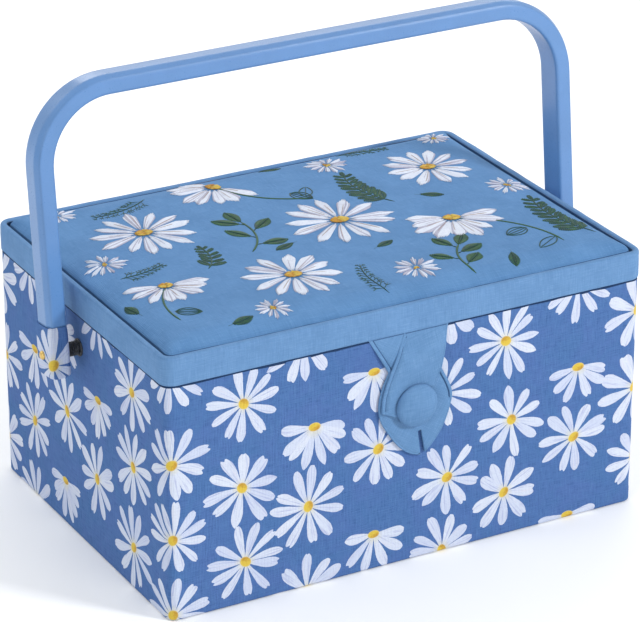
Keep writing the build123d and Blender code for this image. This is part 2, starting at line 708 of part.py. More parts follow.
with BuildPart() as closure_strap_over:
    with BuildSketch(Plane.XZ.offset(strap_over_y)):
        with BuildLine():
            Polyline(
                (-5.6, strap_top),
                (-12.9, 103.5),
                (-16.2, 89.6),
                (-15.6, 83.0),
                (-8.0, 79.9),
                (0.0, 80.0),
                (11.0, 92.0),
                (14.9, 101.0),
                (18.0, strap_top),
                close=True,
            )
        make_face()
        with Locations((0, button_z)):
            Circle(loop_hole_r, mode=Mode.SUBTRACT)
    extrude(amount=strap_t)
save(closure_strap_over.part, "closure_strap_over")
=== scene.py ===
import math
import random

import bpy
import numpy as np
from mathutils import Matrix, Vector, noise
from mathutils.bvhtree import BVHTree
from mathutils.geometry import delaunay_2d_cdt


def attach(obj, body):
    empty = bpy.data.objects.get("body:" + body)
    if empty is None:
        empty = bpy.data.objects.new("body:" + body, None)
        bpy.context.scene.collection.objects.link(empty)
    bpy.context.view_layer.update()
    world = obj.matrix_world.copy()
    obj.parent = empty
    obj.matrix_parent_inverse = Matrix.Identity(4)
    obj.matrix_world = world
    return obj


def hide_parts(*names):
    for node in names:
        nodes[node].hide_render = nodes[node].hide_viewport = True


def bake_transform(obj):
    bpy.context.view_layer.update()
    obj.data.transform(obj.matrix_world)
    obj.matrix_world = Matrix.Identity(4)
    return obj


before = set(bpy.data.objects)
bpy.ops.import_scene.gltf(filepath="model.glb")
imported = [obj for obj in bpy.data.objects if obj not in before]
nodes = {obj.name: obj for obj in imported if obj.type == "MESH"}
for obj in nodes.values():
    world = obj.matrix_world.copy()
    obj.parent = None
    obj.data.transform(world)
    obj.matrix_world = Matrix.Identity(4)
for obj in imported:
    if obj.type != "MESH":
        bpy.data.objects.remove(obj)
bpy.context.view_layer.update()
MM = 0.001
rad = math.radians

# ---------------------------------------------------------------- sizes, in millimetres, as in the CAD
BODY_X, BODY_Y, BODY_TOP, BODY_R = 130.0, 93.0, 122.4, 5.0
LID_X, LID_Y, LID_R = 130.9, 93.9, 7.0
LID_Z0, RIM_TOP, CROWN = 122.9, 137.0, 140.8
RIM_IN = 3.35  # rim's thickness with its fabric
LINING_X, LINING_Y = 126.0, 89.0
BUTTON_Z, BUTTON_R = 84.8, 11.5
PIVOT_Z, TILT = 105.4, rad(6.0)
UP = Vector((0.0, math.sin(TILT), math.cos(TILT)))
FRONT = Vector((0.0, -math.cos(TILT), math.sin(TILT)))


# ================================================================ shader helpers
def node(nt, kind, props=None, **ins):
    n = nt.nodes.new(kind)
    for k, v in (props or {}).items():
        setattr(n, k, v)
    for k, v in ins.items():
        s = n.inputs[int(k[1:])] if k[0] == "i" and k[1:].isdigit() else n.inputs[k.replace("_", " ")]
        if isinstance(v, bpy.types.NodeSocket):
            nt.links.new(v, s)
        else:
            s.default_value = v
    return n


def maths(nt, op, a, b=None, c=None, clamp=False):
    n = nt.nodes.new("ShaderNodeMath")
    n.operation = op
    n.use_clamp = clamp
    for i, v in enumerate((a, b, c)):
        if v is None:
            continue
        if isinstance(v, bpy.types.NodeSocket):
            nt.links.new(v, n.inputs[i])
        else:
            n.inputs[i].default_value = v
    return n.outputs[0]


def scaled(nt, vec, x, y, z=1.0):
    n = nt.nodes.new("ShaderNodeVectorMath")
    n.operation = "MULTIPLY"
    nt.links.new(vec, n.inputs[0])
    n.inputs[1].default_value = (x, y, z)
    return n.outputs[0]


def added(nt, a, b):
    n = nt.nodes.new("ShaderNodeVectorMath")
    n.operation = "ADD"
    for i, v in enumerate((a, b)):
        if isinstance(v, bpy.types.NodeSocket):
            nt.links.new(v, n.inputs[i])
        else:
            n.inputs[i].default_value = v
    return n.outputs[0]


def mix(nt, f, a, b, blend="MIX"):
    n = nt.nodes.new("ShaderNodeMix")
    n.data_type = "RGBA"
    n.blend_type = blend
    n.clamp_factor = True
    for s, v in ((n.inputs[0], f), (n.inputs[6], a), (n.inputs[7], b)):
        if isinstance(v, bpy.types.NodeSocket):
            nt.links.new(v, s)
        else:
            s.default_value = v if isinstance(v, (int, float)) else (*v, 1.0)
    return n.outputs[2]


def noise_of(nt, vec, scale=1.0, detail=3.0, rough=0.55, distort=0.0):
    n = node(nt, "ShaderNodeTexNoise", Vector=vec, Scale=scale, Detail=detail, Roughness=rough, Distortion=distort)
    return n.outputs["Fac"]


def spread(nt, v, lo, hi, a=0.0, b=1.0):
    n = nt.nodes.new("ShaderNodeMapRange")
    n.clamp = True
    nt.links.new(v, n.inputs[0])
    for i, x in enumerate((lo, hi, a, b)):
        n.inputs[i + 1].default_value = x
    return n.outputs[0]


def shader(name, rough=0.8, spec=0.3, sheen=0.0, sheen_rough=0.5, metallic=0.0, coat=0.0):
    m = bpy.data.materials.new(name)
    m.use_nodes = True
    nt = m.node_tree
    nt.nodes.clear()
    out = nt.nodes.new("ShaderNodeOutputMaterial")
    p = nt.nodes.new("ShaderNodeBsdfPrincipled")
    p.inputs["Roughness"].default_value = rough
    p.inputs["Specular IOR Level"].default_value = spec
    p.inputs["Sheen Weight"].default_value = sheen
    p.inputs["Sheen Roughness"].default_value = sheen_rough
    p.inputs["Metallic"].default_value = metallic
    p.inputs["Coat Weight"].default_value = coat
    nt.links.new(p.outputs[0], out.inputs[0])
    return m, nt, p


def cloth_coords(nt, uv="cloth"):
    """The cloth's own flat coordinates in millimetres, so that the weave follows the cut."""
    u = nt.nodes.new("ShaderNodeUVMap")
    u.uv_map = uv
    return scaled(nt, u.outputs[0], 100.0, 100.0)


def weave(nt, mm, pitch):
    """Height of a plain weave, 0 to 1, with threads that wander a little."""
    drift = node(nt, "ShaderNodeTexNoise", Vector=mm, Scale=0.22, Detail=2.0, Roughness=0.5)
    off = nt.nodes.new("ShaderNodeVectorMath")
    off.operation = "SCALE"
    nt.links.new(drift.outputs["Color"], off.inputs[0])
    off.inputs["Scale"].default_value = 0.9 * pitch
    v = added(nt, mm, off.outputs[0])
    v = scaled(nt, v, math.pi / pitch, math.pi / pitch)
    sep = nt.nodes.new("ShaderNodeSeparateXYZ")
    nt.links.new(v, sep.inputs[0])
    a = maths(nt, "SINE", sep.outputs[0])
    b = maths(nt, "SINE", sep.outputs[1])
    return maths(nt, "POWER", maths(nt, "ABSOLUTE", maths(nt, "MULTIPLY", a, b)), 0.55)


def slubs(nt, mm, thin=2.2, long=0.11):
    """Uneven warp and weft threads, as two crossed streaky noises, 0 to 1."""
    w = noise_of(nt, scaled(nt, mm, thin, long), 1.0, 2.0, 0.6)
    f = noise_of(nt, added(nt, scaled(nt, mm, long, thin), (31.0, 7.0, 0.0)), 1.0, 2.0, 0.6)
    return maths(nt, "MULTIPLY", maths(nt, "ADD", w, f), 0.5), w, f


def cloth_bump(nt, p, heights, distance):
    """heights: list of (socket, weight)."""
    total = None
    for s, w in heights:
        x = maths(nt, "MULTIPLY", s, w)
        total = x if total is None else maths(nt, "ADD", total, x)
    b = node(nt, "ShaderNodeBump", Strength=1.0, Distance=distance * MM, Height=total)
    nt.links.new(b.outputs[0], p.inputs["Normal"])


def plain_cloth(name, dark, mid, light, pitch=0.6, sheen=0.03, depth=0.16, mottle=0.5, streak=0.62):
    m, nt, p = shader(name, rough=0.9, spec=0.12, sheen=sheen)
    mm = cloth_coords(nt)
    h = weave(nt, mm, pitch)
    s, w, f = slubs(nt, mm)
    big = noise_of(nt, mm, 0.045, 3.0, 0.6)
    c = mix(nt, spread(nt, big, 0.35, 0.65), mid, tuple(m_ + (d_ - m_) * mottle for m_, d_ in zip(mid, dark)))
    c = mix(nt, maths(nt, "MULTIPLY", spread(nt, s, 0.52, 0.68), streak), c, light)
    c = mix(nt, maths(nt, "MULTIPLY", spread(nt, s, 0.48, 0.34), streak), c, dark)
    # Painted shade: the low hollows of the weave are darkened.
    c = mix(nt, maths(nt, "MULTIPLY", spread(nt, h, 0.55, 0.0), 0.55), c, dark)
    nt.links.new(c, p.inputs["Base Color"])
    nt.links.new(spread(nt, s, 0.3, 0.7, 0.92, 0.78), p.inputs["Roughness"])
    wave = noise_of(nt, mm, 0.09, 2.0, 0.5)
    cloth_bump(nt, p, ((h, 1.0), (s, 1.6), (wave, 5.0)), depth)
    return m


def print_base(name):
    """Printed ground of the daisy cloth: two close blues brushed over each other."""
    m, nt, p = shader(name, rough=0.9, spec=0.1, sheen=0.02)
    mm = cloth_coords(nt)
    h = weave(nt, mm, 0.8)
    s, w, f = slubs(nt, mm, 1.7, 0.13)
    big = noise_of(nt, mm, 0.05, 3.0, 0.62, 0.6)
    brush = noise_of(nt, scaled(nt, mm, 0.55, 0.10), 1.0, 4.0, 0.65, 0.4)
    c = mix(nt, spread(nt, big, 0.36, 0.64), BASE_BLUE, BASE_VIOLET)
    c = mix(nt, maths(nt, "MULTIPLY", spread(nt, brush, 0.55, 0.75), 0.55), c, BASE_LIGHT)
    c = mix(nt, maths(nt, "MULTIPLY", spread(nt, s, 0.52, 0.66), 0.55), c, BASE_LIGHT)
    c = mix(nt, maths(nt, "MULTIPLY", spread(nt, s, 0.48, 0.34), 0.75), c, BASE_DARK)
    # Painted shade: the low hollows of the weave are darkened.
    c = mix(nt, maths(nt, "MULTIPLY", spread(nt, h, 0.5, 0.0), 0.5), c, BASE_DARK)
    nt.links.new(c, p.inputs["Base Color"])
    nt.links.new(spread(nt, s, 0.3, 0.7, 0.94, 0.8), p.inputs["Roughness"])
    wave = noise_of(nt, mm, 0.06, 2.0, 0.5)
    cloth_bump(nt, p, ((h, 1.0), (s, 1.6), (wave, 4.0)), 0.16)
    return m


def print_petal(name):
    m, nt, p = shader(name, rough=0.9, spec=0.12, sheen=0.02)
    mm = cloth_coords(nt)
    h = weave(nt, mm, 0.8)
    s, w, f = slubs(nt, mm, 1.7, 0.13)
    u = nt.nodes.new("ShaderNodeUVMap")
    u.uv_map = "petal"  # x along the petal from the flower's centre, y across it
    pid = nt.nodes.new("ShaderNodeUVMap")
    pid.uv_map = "tone"
    sp = nt.nodes.new("ShaderNodeSeparateXYZ")
    nt.links.new(u.outputs[0], sp.inputs[0])
    st = nt.nodes.new("ShaderNodeSeparateXYZ")
    nt.links.new(pid.outputs[0], st.inputs[0])
    along = added(nt, scaled(nt, u.outputs[0], 1.3, 3.4), scaled(nt, pid.outputs[0], 37.0, 53.0))
    streak = noise_of(nt, along, 1.0, 3.0, 0.6)
    c = mix(nt, spread(nt, st.outputs[0], 0.0, 1.0), PETAL_WHITE, PETAL_COOL)
    c = mix(nt, maths(nt, "MULTIPLY", spread(nt, streak, 0.52, 0.66), 0.85), c, PETAL_SHADE)
    c = mix(nt, maths(nt, "MULTIPLY", spread(nt, streak, 0.44, 0.32), 0.5), c, PETAL_BLUSH)
    edge = spread(nt, maths(nt, "ABSOLUTE", sp.outputs[1]), 0.75, 1.05)
    c = mix(nt, maths(nt, "MULTIPLY", edge, 0.35), c, PETAL_SHADE)
    c = mix(nt, spread(nt, sp.outputs[0], 0.3, 0.12, 0.0, 0.55), c, PETAL_HALO)
    c = mix(nt, maths(nt, "MULTIPLY", spread(nt, s, 0.48, 0.34), 0.35), c, PETAL_SHADE)
    # Painted shade: the low hollows of the weave are darkened.
    c = mix(nt, maths(nt, "MULTIPLY", spread(nt, h, 0.5, 0.0), 0.22), c, PETAL_SHADE)
    nt.links.new(c, p.inputs["Base Color"])
    nt.links.new(spread(nt, s, 0.3, 0.7, 0.94, 0.8), p.inputs["Roughness"])
    wave = noise_of(nt, mm, 0.06, 2.0, 0.5)
    cloth_bump(nt, p, ((h, 1.0), (s, 1.6), (wave, 4.0)), 0.16)
    return m


def print_centre(name):
    m, nt, p = shader(name, rough=0.85, spec=0.2, sheen=0.05)
    mm = cloth_coords(nt)
    h = weave(nt, mm, 0.8)
    u = nt.nodes.new("ShaderNodeUVMap")
    u.uv_map = "petal"
    sp = nt.nodes.new("ShaderNodeSeparateXYZ")
    nt.links.new(u.outputs[0], sp.inputs[0])
    n = noise_of(nt, u.outputs[0], 2.4, 3.0, 0.6)
    side = maths(nt, "ADD", maths(nt, "MULTIPLY", sp.outputs[1], -0.6), maths(nt, "MULTIPLY", sp.outputs[0], 0.35))
    side = maths(nt, "ADD", side, maths(nt, "MULTIPLY", maths(nt, "SUBTRACT", n, 0.5), 1.6))
    c = mix(nt, spread(nt, side, -0.15, 0.75), CENTRE_YELLOW, CENTRE_ORANGE)
    rim = maths(nt, "ADD", maths(nt, "POWER", sp.outputs[0], 2.0), maths(nt, "POWER", sp.outputs[1], 2.0))
    c = mix(nt, maths(nt, "MULTIPLY", spread(nt, rim, 0.55, 1.0), 0.6), c, CENTRE_PALE)
    nt.links.new(c, p.inputs["Base Color"])
    cloth_bump(nt, p, ((h, 1.0), (n, 1.0)), 0.14)
    return m


BASE_BLUE = (0.070, 0.162, 0.374)
BASE_VIOLET = (0.080, 0.157, 0.387)
BASE_LIGHT = (0.102, 0.212, 0.442)
BASE_DARK = (0.038, 0.094, 0.250)
PETAL_WHITE = (0.64, 0.69, 0.79)
PETAL_COOL = (0.54, 0.60, 0.75)
PETAL_SHADE = (0.39, 0.43, 0.64)
PETAL_BLUSH = (0.62, 0.58, 0.68)
PETAL_HALO = (0.66, 0.62, 0.40)
CENTRE_YELLOW = (0.64, 0.46, 0.060)
CENTRE_ORANGE = (0.42, 0.20, 0.022)
CENTRE_PALE = (0.66, 0.55, 0.25)
HANDLE_BLUE = (0.099, 0.228, 0.478)
PLAIN_DARK = (0.098, 0.215, 0.415)
PLAIN_MID = (0.150, 0.298, 0.540)
PLAIN_LIGHT = (0.208, 0.370, 0.615)

M_BASE = print_base("daisy_ground")
M_PETAL = print_petal("daisy_petal")
M_CENTRE = print_centre("daisy_centre")
# Painted shade: a dark navy binding cloth for the body's top edge, standing in for the shadow line under the lid's rim.
M_BINDING_SHADE = plain_cloth("binding_and_shade_cloth", (0.012, 0.034, 0.095), (0.018, 0.048, 0.125), (0.030, 0.070, 0.165), pitch=0.5)
M_RIM = plain_cloth("plain_blue_cloth", PLAIN_DARK, PLAIN_MID, PLAIN_LIGHT, pitch=0.62)
M_TOP = plain_cloth("top_blue_cloth", (0.082, 0.200, 0.402), (0.121, 0.270, 0.516), (0.168, 0.334, 0.592), pitch=0.62, depth=0.13, sheen=0.03)
M_STRAP = plain_cloth("strap_blue_cloth", (0.090, 0.205, 0.395), (0.146, 0.292, 0.525), PLAIN_LIGHT, pitch=0.55)
# Painted shade: a dark blue cloth for the groove between the rim and the padded top, where shade falls.
M_GROOVE_SHADE = plain_cloth("groove_shade_cloth", (0.030, 0.082, 0.190), (0.046, 0.116, 0.250), (0.070, 0.155, 0.310), pitch=0.55)
# Partly painted shade: a darker cloth for the straps' seam lines, thread colour and shade in one, and painted shade
# along their top edge under the rim.
M_SEAM_AND_SHADE = plain_cloth("strap_seam_and_shade_cloth", (0.036, 0.090, 0.200), (0.056, 0.130, 0.270), (0.085, 0.175, 0.340), pitch=0.55)
M_LINING = plain_cloth("lining_cloth", (0.24, 0.37, 0.60), (0.40, 0.54, 0.78), (0.50, 0.63, 0.84), pitch=0.7)


# ================================================================ mesh helpers
def make(name, verts, faces, mats, face_mats=None, normals=None, uvs=None, smooth=True):
    """verts in millimetres. uvs: {layer: per-loop array}."""
    me = bpy.data.meshes.new(name)
    v = np.asarray(verts, float).reshape(-1, 3) * MM
    me.from_pydata([tuple(x) for x in v], [], [tuple(int(i) for i in f) for f in faces])
    for m in mats:
        me.materials.append(m)
    if face_mats is not None:
        me.polygons.foreach_set("material_index", np.asarray(face_mats, np.int32))
    me.polygons.foreach_set("use_smooth", np.full(len(me.polygons), smooth))
    for layer, data in (uvs or {}).items():
        lay = me.uv_layers.new(name=layer)
        lay.uv.foreach_set("vector", np.asarray(data, np.float32).ravel())
    me.update()
    if normals is not None:
        me.normals_split_custom_set_from_vertices([tuple(n) for n in normals])
    o = bpy.data.objects.new(name, me)
    bpy.context.scene.collection.objects.link(o)
    return o


def loop_uv(me, per_vertex):
    idx = np.zeros(len(me.loops), np.int32)
    me.loops.foreach_get("vertex_index", idx)
    return np.asarray(per_vertex, float)[idx]


def set_uv(o, layer, per_vertex_mm):
    """A UV layer from each vertex's place on the flat cloth, in millimetres (100 to one unit)."""
    lay = o.data.uv_layers.get(layer) or o.data.uv_layers.new(name=layer)
    lay.uv.foreach_set("vector", (loop_uv(o.data, per_vertex_mm) / 100.0).astype(np.float32).ravel())


class Rounded:
    """Arc length round a rounded rectangle, counterclockwise from the middle of the back."""

    def __init__(self, hx, hy, r):
        self.hx, self.hy, self.r = hx, hy, r
        q = math.pi / 2 * r
        self.parts = [
            ("line", hx - r, (0, hy), (-1, 0), (0, 1)),
            ("arc", q, (-hx + r, hy - r), 90.0, None),
            ("line", 2 * (hy - r), (-hx, hy - r), (0, -1), (-1, 0)),
            ("arc", q, (-hx + r, -hy + r), 180.0, None),
            ("line", 2 * (hx - r), (-hx + r, -hy), (1, 0), (0, -1)),
            ("arc", q, (hx - r, -hy + r), 270.0, None),
            ("line", 2 * (hy - r), (hx, -hy + r), (0, 1), (1, 0)),
            ("arc", q, (hx - r, hy - r), 0.0, None),
            ("line", hx - r, (hx - r, hy), (-1, 0), (0, 1)),
        ]
        self.starts = np.cumsum([0.0] + [p[1] for p in self.parts])
        self.length = float(self.starts[-1])

    def at(self, u):
        """(point, outward normal) at arc length u."""
        u = min(max(u, 0.0), self.length - 1e-9)
        i = int(np.searchsorted(self.starts, u, side="right")) - 1
        i = min(i, len(self.parts) - 1)
        kind, length, a, b, n = self.parts[i]
        t = u - self.starts[i]
        if kind == "line":
            return (a[0] + b[0] * t, a[1] + b[1] * t), n
        ang = rad(b + 90.0 * t / length)
        nx, ny = math.cos(ang), math.sin(ang)
        return (a[0] + self.r * nx, a[1] + self.r * ny), (nx, ny)

    def stations(self, straight, arc):
        """Arc lengths with `arc` steps in each corner and about `straight` mm between the others."""
        out = []
        for i, (kind, length, *_r) in enumerate(self.parts):
            k = arc if kind == "arc" else max(1, round(length / straight))
            out += [self.starts[i] + length * j / k for j in range(k)]
        return out


def ring_sweep(name, path, profile, us, mats, wobble=None, close_u=True):
    """profile: list of (inset, z). A band of quads round the path. The cloth's v is the length along the profile."""
    prof = np.asarray(profile, float)
    vv = np.concatenate([[0.0], np.cumsum(np.linalg.norm(np.diff(prof, axis=0), axis=1))])
    nu, nv = len(us), len(prof)
    verts, flat = [], []
    for j in range(nv):
        d, z = prof[j]
        for i, u in enumerate(us):
            (px, py), (nx, ny) = path.at(u)
            dd, zz = d, z
            if wobble:
                a, b = wobble(u, vv[j], px, py, d, z)
                dd, zz = d - a, z + b
            dd_eff = dd
            verts.append((px - nx * dd_eff, py - ny * dd_eff, zz))
            flat.append((u, vv[j]))
    faces, uv = [], []
    total = path.length
    for j in range(nv - 1):
        for i in range(nu if close_u else nu - 1):
            k = (i + 1) % nu
            faces.append((j * nu + i, j * nu + k, (j + 1) * nu + k, (j + 1) * nu + i))
            u0, u1 = us[i], (us[k] if k else total)
            uv += [(u0, vv[j]), (u1, vv[j]), (u1, vv[j + 1]), (u0, vv[j + 1])]
    return make(name, verts, faces, mats, uvs={"cloth": np.asarray(uv) / 100.0})


# ================================================================ the daisy print
TIPS = {
    "blunt": ([0, .15, .3, .45, .6, .72, .82, .9, .955, .985], [.15, .30, .50, .70, .88, .99, 1.0, .90, .70, .44], [(.26, 1.0), (0, .985), (-.24, 1.0)]),
    "square": ([0, .15, .3, .45, .6, .74, .86, .94, .98], [.15, .29, .47, .67, .86, 1.0, 1.0, .90, .70], [(.42, 1.0), (.12, .955), (-.12, .985), (-.44, 1.0)]),
    "notch": ([0, .15, .3, .45, .6, .72, .84, .93, .98], [.15, .30, .50, .72, .90, 1.0, .96, .80, .60], [(.40, 1.0), (.16, .965), (0, .945), (-.18, .975), (-.40, 1.0)]),
    "point": ([0, .15, .3, .45, .6, .72, .82, .9, .96], [.15, .32, .56, .79, .95, 1.0, .87, .62, .32], [(.0, 1.0)]),
    "round": ([0, .15, .3, .45, .6, .72, .82, .9, .955, .985], [.14, .31, .53, .75, .92, 1.0, .97, .84, .62, .38], [(.0, 1.0)]),
}


def petal_points(rng, kind):
    """Outline in (along, across), both 0 to 1 of the petal's length and half width, counterclockwise."""
    xs, fs, tip = TIPS[kind]
    fine = np.linspace(0, xs[-1], 15)
    smooth = np.interp(fine, xs, fs)
    smooth[1:-1] = 0.25 * smooth[:-2] + 0.5 * smooth[1:-1] + 0.25 * smooth[2:]
    left = [(x, -f * (1 + rng.uniform(-.035, .035))) for x, f in zip(fine, smooth)]
    right = [(x, f * (1 + rng.uniform(-.035, .035))) for x, f in zip(fine, smooth)]
    top = [(x * (1 + rng.uniform(-.012, .012)), t) for t, x in tip][::-1]
    return left + top + right[::-1]


class Flower:
    def __init__(self, rng, u, v, radius, style="open"):
        self.u, self.v, self.petals = u, v, []
        self.centre = None
        if style == "open":
            n = rng.choice([9, 10, 10, 11, 11, 12])
            turn = rng.uniform(0, 2 * math.pi)
            tilt, squash = rng.uniform(0, math.pi), rng.uniform(0.86, 1.0)
            angles = [turn + 2 * math.pi * (i + rng.uniform(-.13, .13)) / n for i in range(n)]
            for a in angles:
                k = 1 - (1 - squash) * abs(math.sin(a - tilt))
                self.petals.append((a, radius * k * rng.uniform(.88, 1.07), radius * rng.uniform(.111, .145) * 10.5 / n))
            self.centre = (tilt, rng.uniform(2.8, 3.3), rng.uniform(2.35, 2.75))
        else:
            face = rng.choice([-math.pi / 2, -math.pi / 2, rng.uniform(-math.pi, math.pi)])
            n = rng.choice([6, 7, 8])
            for i in range(n):
                a = face + rad(100) * (2 * (i + .5) / n - 1) + rng.uniform(-.08, .08)
                k = 1 - 0.22 * abs(2 * (i + .5) / n - 1)
                self.petals.append((a, radius * 1.05 * k * rng.uniform(.9, 1.06), radius * rng.uniform(.113, .147)))
            self.centre = (face + math.pi / 2, rng.uniform(3.1, 3.6), rng.uniform(1.9, 2.3))
        self.shapes = []
        for a, length, half in self.petals:
            kind = rng.choice(["blunt", "blunt", "round", "round", "square", "notch", "point"])
            bend = rng.uniform(-.12, .12) * length
            self.shapes.append((a, length, half, bend, petal_points(rng, kind), rng.random(), rng.random()))
        rng.shuffle(self.shapes)

    def polygons(self):
        """[(points, kind, inverse)] with kind 1 petal, 2 centre."""
        out = []
        for a, length, half, bend, pts, t0, t1 in self.shapes:
            ca, sa = math.cos(a), math.sin(a)
            world = []
            for x, y in pts:
                s, t = x * length, y * half + bend * x * x
                world.append((self.u + ca * s - sa * t, self.v + sa * s + ca * t))
            out.append((world, 1, (self.u, self.v, ca, sa, length, half, bend, t0, t1)))
        a, ra, rb = self.centre
        ca, sa = math.cos(a), math.sin(a)
        ring = []
        for i in range(20):
            q = 2 * math.pi * i / 20
            x, y = ra * math.cos(q), rb * math.sin(q)
            ring.append((self.u + ca * x - sa * y, self.v + sa * x + ca * y))
        out.append((ring, 2, (self.u, self.v, ca, sa, ra, rb, 0.0, 0.0, 0.0)))
        return out


def area2(poly):
    return sum(a[0] * b[1] - b[0] * a[1] for a, b in zip(poly, poly[1:] + poly[:1]))


def printed(name, width, v0, v1, u_lines, v_lines, flowers, place, dark_band_from=None):
    """A rectangle of printed cloth, cut along the print's own outlines, and laid by place(u, v) -> point, normal."""
    pts, edges, faces, info = [], [], [], []

    def add(p):
        pts.append(Vector((p[0], p[1])))
        return len(pts) - 1

    us = sorted({0.0, width, *u_lines})
    vs = sorted({v0, v1, *v_lines})
    grid = {}
    for u in us:
        grid[(u, v0)], grid[(u, v1)] = add((u, v0)), add((u, v1))
    for v in vs[1:-1]:
        grid[(0.0, v)], grid[(width, v)] = add((0.0, v)), add((width, v))
    border = [grid[(u, v0)] for u in us] + [grid[(width, v)] for v in vs[1:-1]]
    border += [grid[(u, v1)] for u in reversed(us)] + [grid[(0.0, v)] for v in reversed(vs[1:-1])]
    faces.append(border)
    info.append(None)
    for u in us[1:-1]:
        edges.append((grid[(u, v0)], grid[(u, v1)]))
    for v in vs[1:-1]:
        edges.append((grid[(0.0, v)], grid[(width, v)]))
    for f in flowers:
        for poly, kind, inv in f.polygons():
            if max(p[0] for p in poly) < 0 or min(p[0] for p in poly) > width:
                continue
            if max(p[1] for p in poly) < v0 or min(p[1] for p in poly) > v1:
                continue
            if area2(poly) < 0:
                poly = poly[::-1]
            faces.append([add(p) for p in poly])
            info.append((kind, inv))
    vo, _e, fo, _ov, _oe, of_ = delaunay_2d_cdt(pts, edges, faces, 1, 1e-4, True)
    keep, kinds, owner = [], [], []
    for f, ids in zip(fo, of_):
        if 0 not in ids:
            continue
        top = max(ids)
        keep.append(list(f))
        owner.append(top)
        kinds.append(0 if top == 0 else info[top][0])
    flat = np.array([(p[0], p[1]) for p in vo])
    used = sorted({i for f in keep for i in f})
    renum = {k: i for i, k in enumerate(used)}
    keep = [[renum[i] for i in f] for f in keep]
    flat = flat[used]
    where = [place(u, v) for u, v in flat]
    verts = [w[0] for w in where]
    normals = [w[1] for w in where]
    cloth, petal, tone = [], [], []
    for f, k in zip(keep, owner):
        inv = info[k][1] if k else None
        for i in f:
            u, v = flat[i]
            cloth.append((u / 100.0, v / 100.0))
            if inv is None:
                petal.append((0.0, 0.0))
                tone.append((0.0, 0.0))
                continue
            fu, fv, ca, sa, length, half, bend, t0, t1 = inv
            du, dv = u - fu, v - fv
            s = (ca * du + sa * dv) / length
            t = (-sa * du + ca * dv - bend * s * s) / half
            petal.append((s, t))
            tone.append((t0, t1))
    if dark_band_from is not None:  # painted shade: above this height the cloth takes a dark navy binding, which stands in for the shadow line under the lid's rim
        kinds = [3 if min(flat[i][1] for i in f) > dark_band_from - 1e-3 else k for f, k in zip(keep, kinds)]
    o = make(name, verts, keep, [M_BASE, M_PETAL, M_CENTRE] + ([M_BINDING_SHADE] if dark_band_from is not None else []), kinds, normals,
             {"cloth": cloth, "petal": petal, "tone": tone})
    return o, flat


def untangle(flowers):
    """Shortens the petals that would lie over a neighbouring daisy."""
    for f in flowers:
        shapes = []
        for a, length, half, bend, pts, t0, t1 in f.shapes:
            for g in flowers:
                far = math.hypot(g.u - f.u, g.v - f.v)
                if g is f or far > 60 or far < 1:
                    continue
                reach = max(p[1] for p in g.shapes) * .88
                while length > .70 * reach and math.hypot(f.u + math.cos(a) * length - g.u, f.v + math.sin(a) * length - g.v) < reach:
                    length *= .97
            shapes.append((a, length, half, bend, pts, t0, t1))
        f.shapes = shapes
    return flowers


def scatter(rng, width, v0, v1, columns, step_v, radius, jitter, wrap=True):
    """A staggered, jittered all-over layout of daisies on the flat cloth."""
    out = []
    step_u = width / columns
    for i in range(columns):
        u = (i + .5) * step_u
        v = v0 + (0.0 if i % 2 == 0 else step_v / 2) - (step_v if v0 <= 1.0 else 0.0)
        while v < v1 + radius:
            uu = u + rng.uniform(-jitter, jitter)
            v_ = v + rng.uniform(-jitter, jitter)
            style = "side" if rng.random() < 0.24 else "open"
            seed = rng.random()
            r = radius * rng.uniform(.95, 1.08)
            out.append(Flower(random.Random(seed), uu, v_, r, style))
            if wrap and uu < radius * 1.3:
                out.append(Flower(random.Random(seed), uu + width, v_, r, style))
            if wrap and uu > width - radius * 1.3:
                out.append(Flower(random.Random(seed), uu - width, v_, r, style))
            v += step_v
    return untangle(out)


# ---------------------------------------------------------------- body cloth
body_path = Rounded(BODY_X, BODY_Y, BODY_R)
body_lines = []
for i, (kind, length, *_r) in enumerate(body_path.parts):
    if kind == "arc":
        body_lines += [body_path.starts[i] + length * j / 6 for j in range(7)]
    else:
        k = max(1, round(length / 42.0))
        body_lines += [body_path.starts[i] + length * j / k for j in range(1, k)]
# Along the cloth's height: under the base, round its edge, up the wall, over the top and down inside.
TURN = [(-3.2, 2.6, 0.45), (-1.25, 0.75, 0.4), (-0.6, 0.22, 0.62), (0.0, 0.0, 1.15)]
BODY_PROFILE = (
    TURN
    + [(6.0, 0.0, 7.15), (60.0, 0.0, 61.15), (114.0, 0.0, 115.15), (120.3, 0.0, 121.45)]
    + [(120.3 + .95 * rad(30 * k), .95 * (1 - math.cos(rad(30 * k))), 121.45 + .95 * math.sin(rad(30 * k))) for k in (1, 2, 3)]
)
_end = BODY_PROFILE[-1][0]
BODY_PROFILE += [(_end + 3.0, 3.95, 122.4), (_end + 3.6, 4.45, 122.25), (_end + 4.0, 4.7, 121.8)]
_bv = np.array([p[0] for p in BODY_PROFILE])
_bd = np.array([p[1] for p in BODY_PROFILE])
_bz = np.array([p[2] for p in BODY_PROFILE])


def place_body(u, v):
    d = float(np.interp(v, _bv, _bd))
    z = float(np.interp(v, _bv, _bz))
    (px, py), (nx, ny) = body_path.at(u)
    d0, z0 = float(np.interp(v - .15, _bv, _bd)), float(np.interp(v - .15, _bv, _bz))
    d1, z1 = float(np.interp(v + .15, _bv, _bd)), float(np.interp(v + .15, _bv, _bz))
    tz, td = z1 - z0, d1 - d0
    k = math.hypot(tz, td) or 1.0
    n = (nx * tz / k, ny * tz / k, td / k)
    return (px - nx * d, py - ny * d, z), n


rng = random.Random(11)
body_flowers = scatter(rng, body_path.length, -1.0, 121.0, 24, 42.3, 20.4, 3.0)
# Painted shade: from 119.75 up the body cloth is the dark binding cloth, drawing the shadow line under the rim.
body, _flat = printed(
    "daisy_body_cloth", body_path.length, float(_bv[0]), float(_bv[-1]), body_lines, list(_bv[1:-1]), body_flowers, place_body,
    dark_band_from=119.75,
)
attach(body, "box")
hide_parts("body_cover")

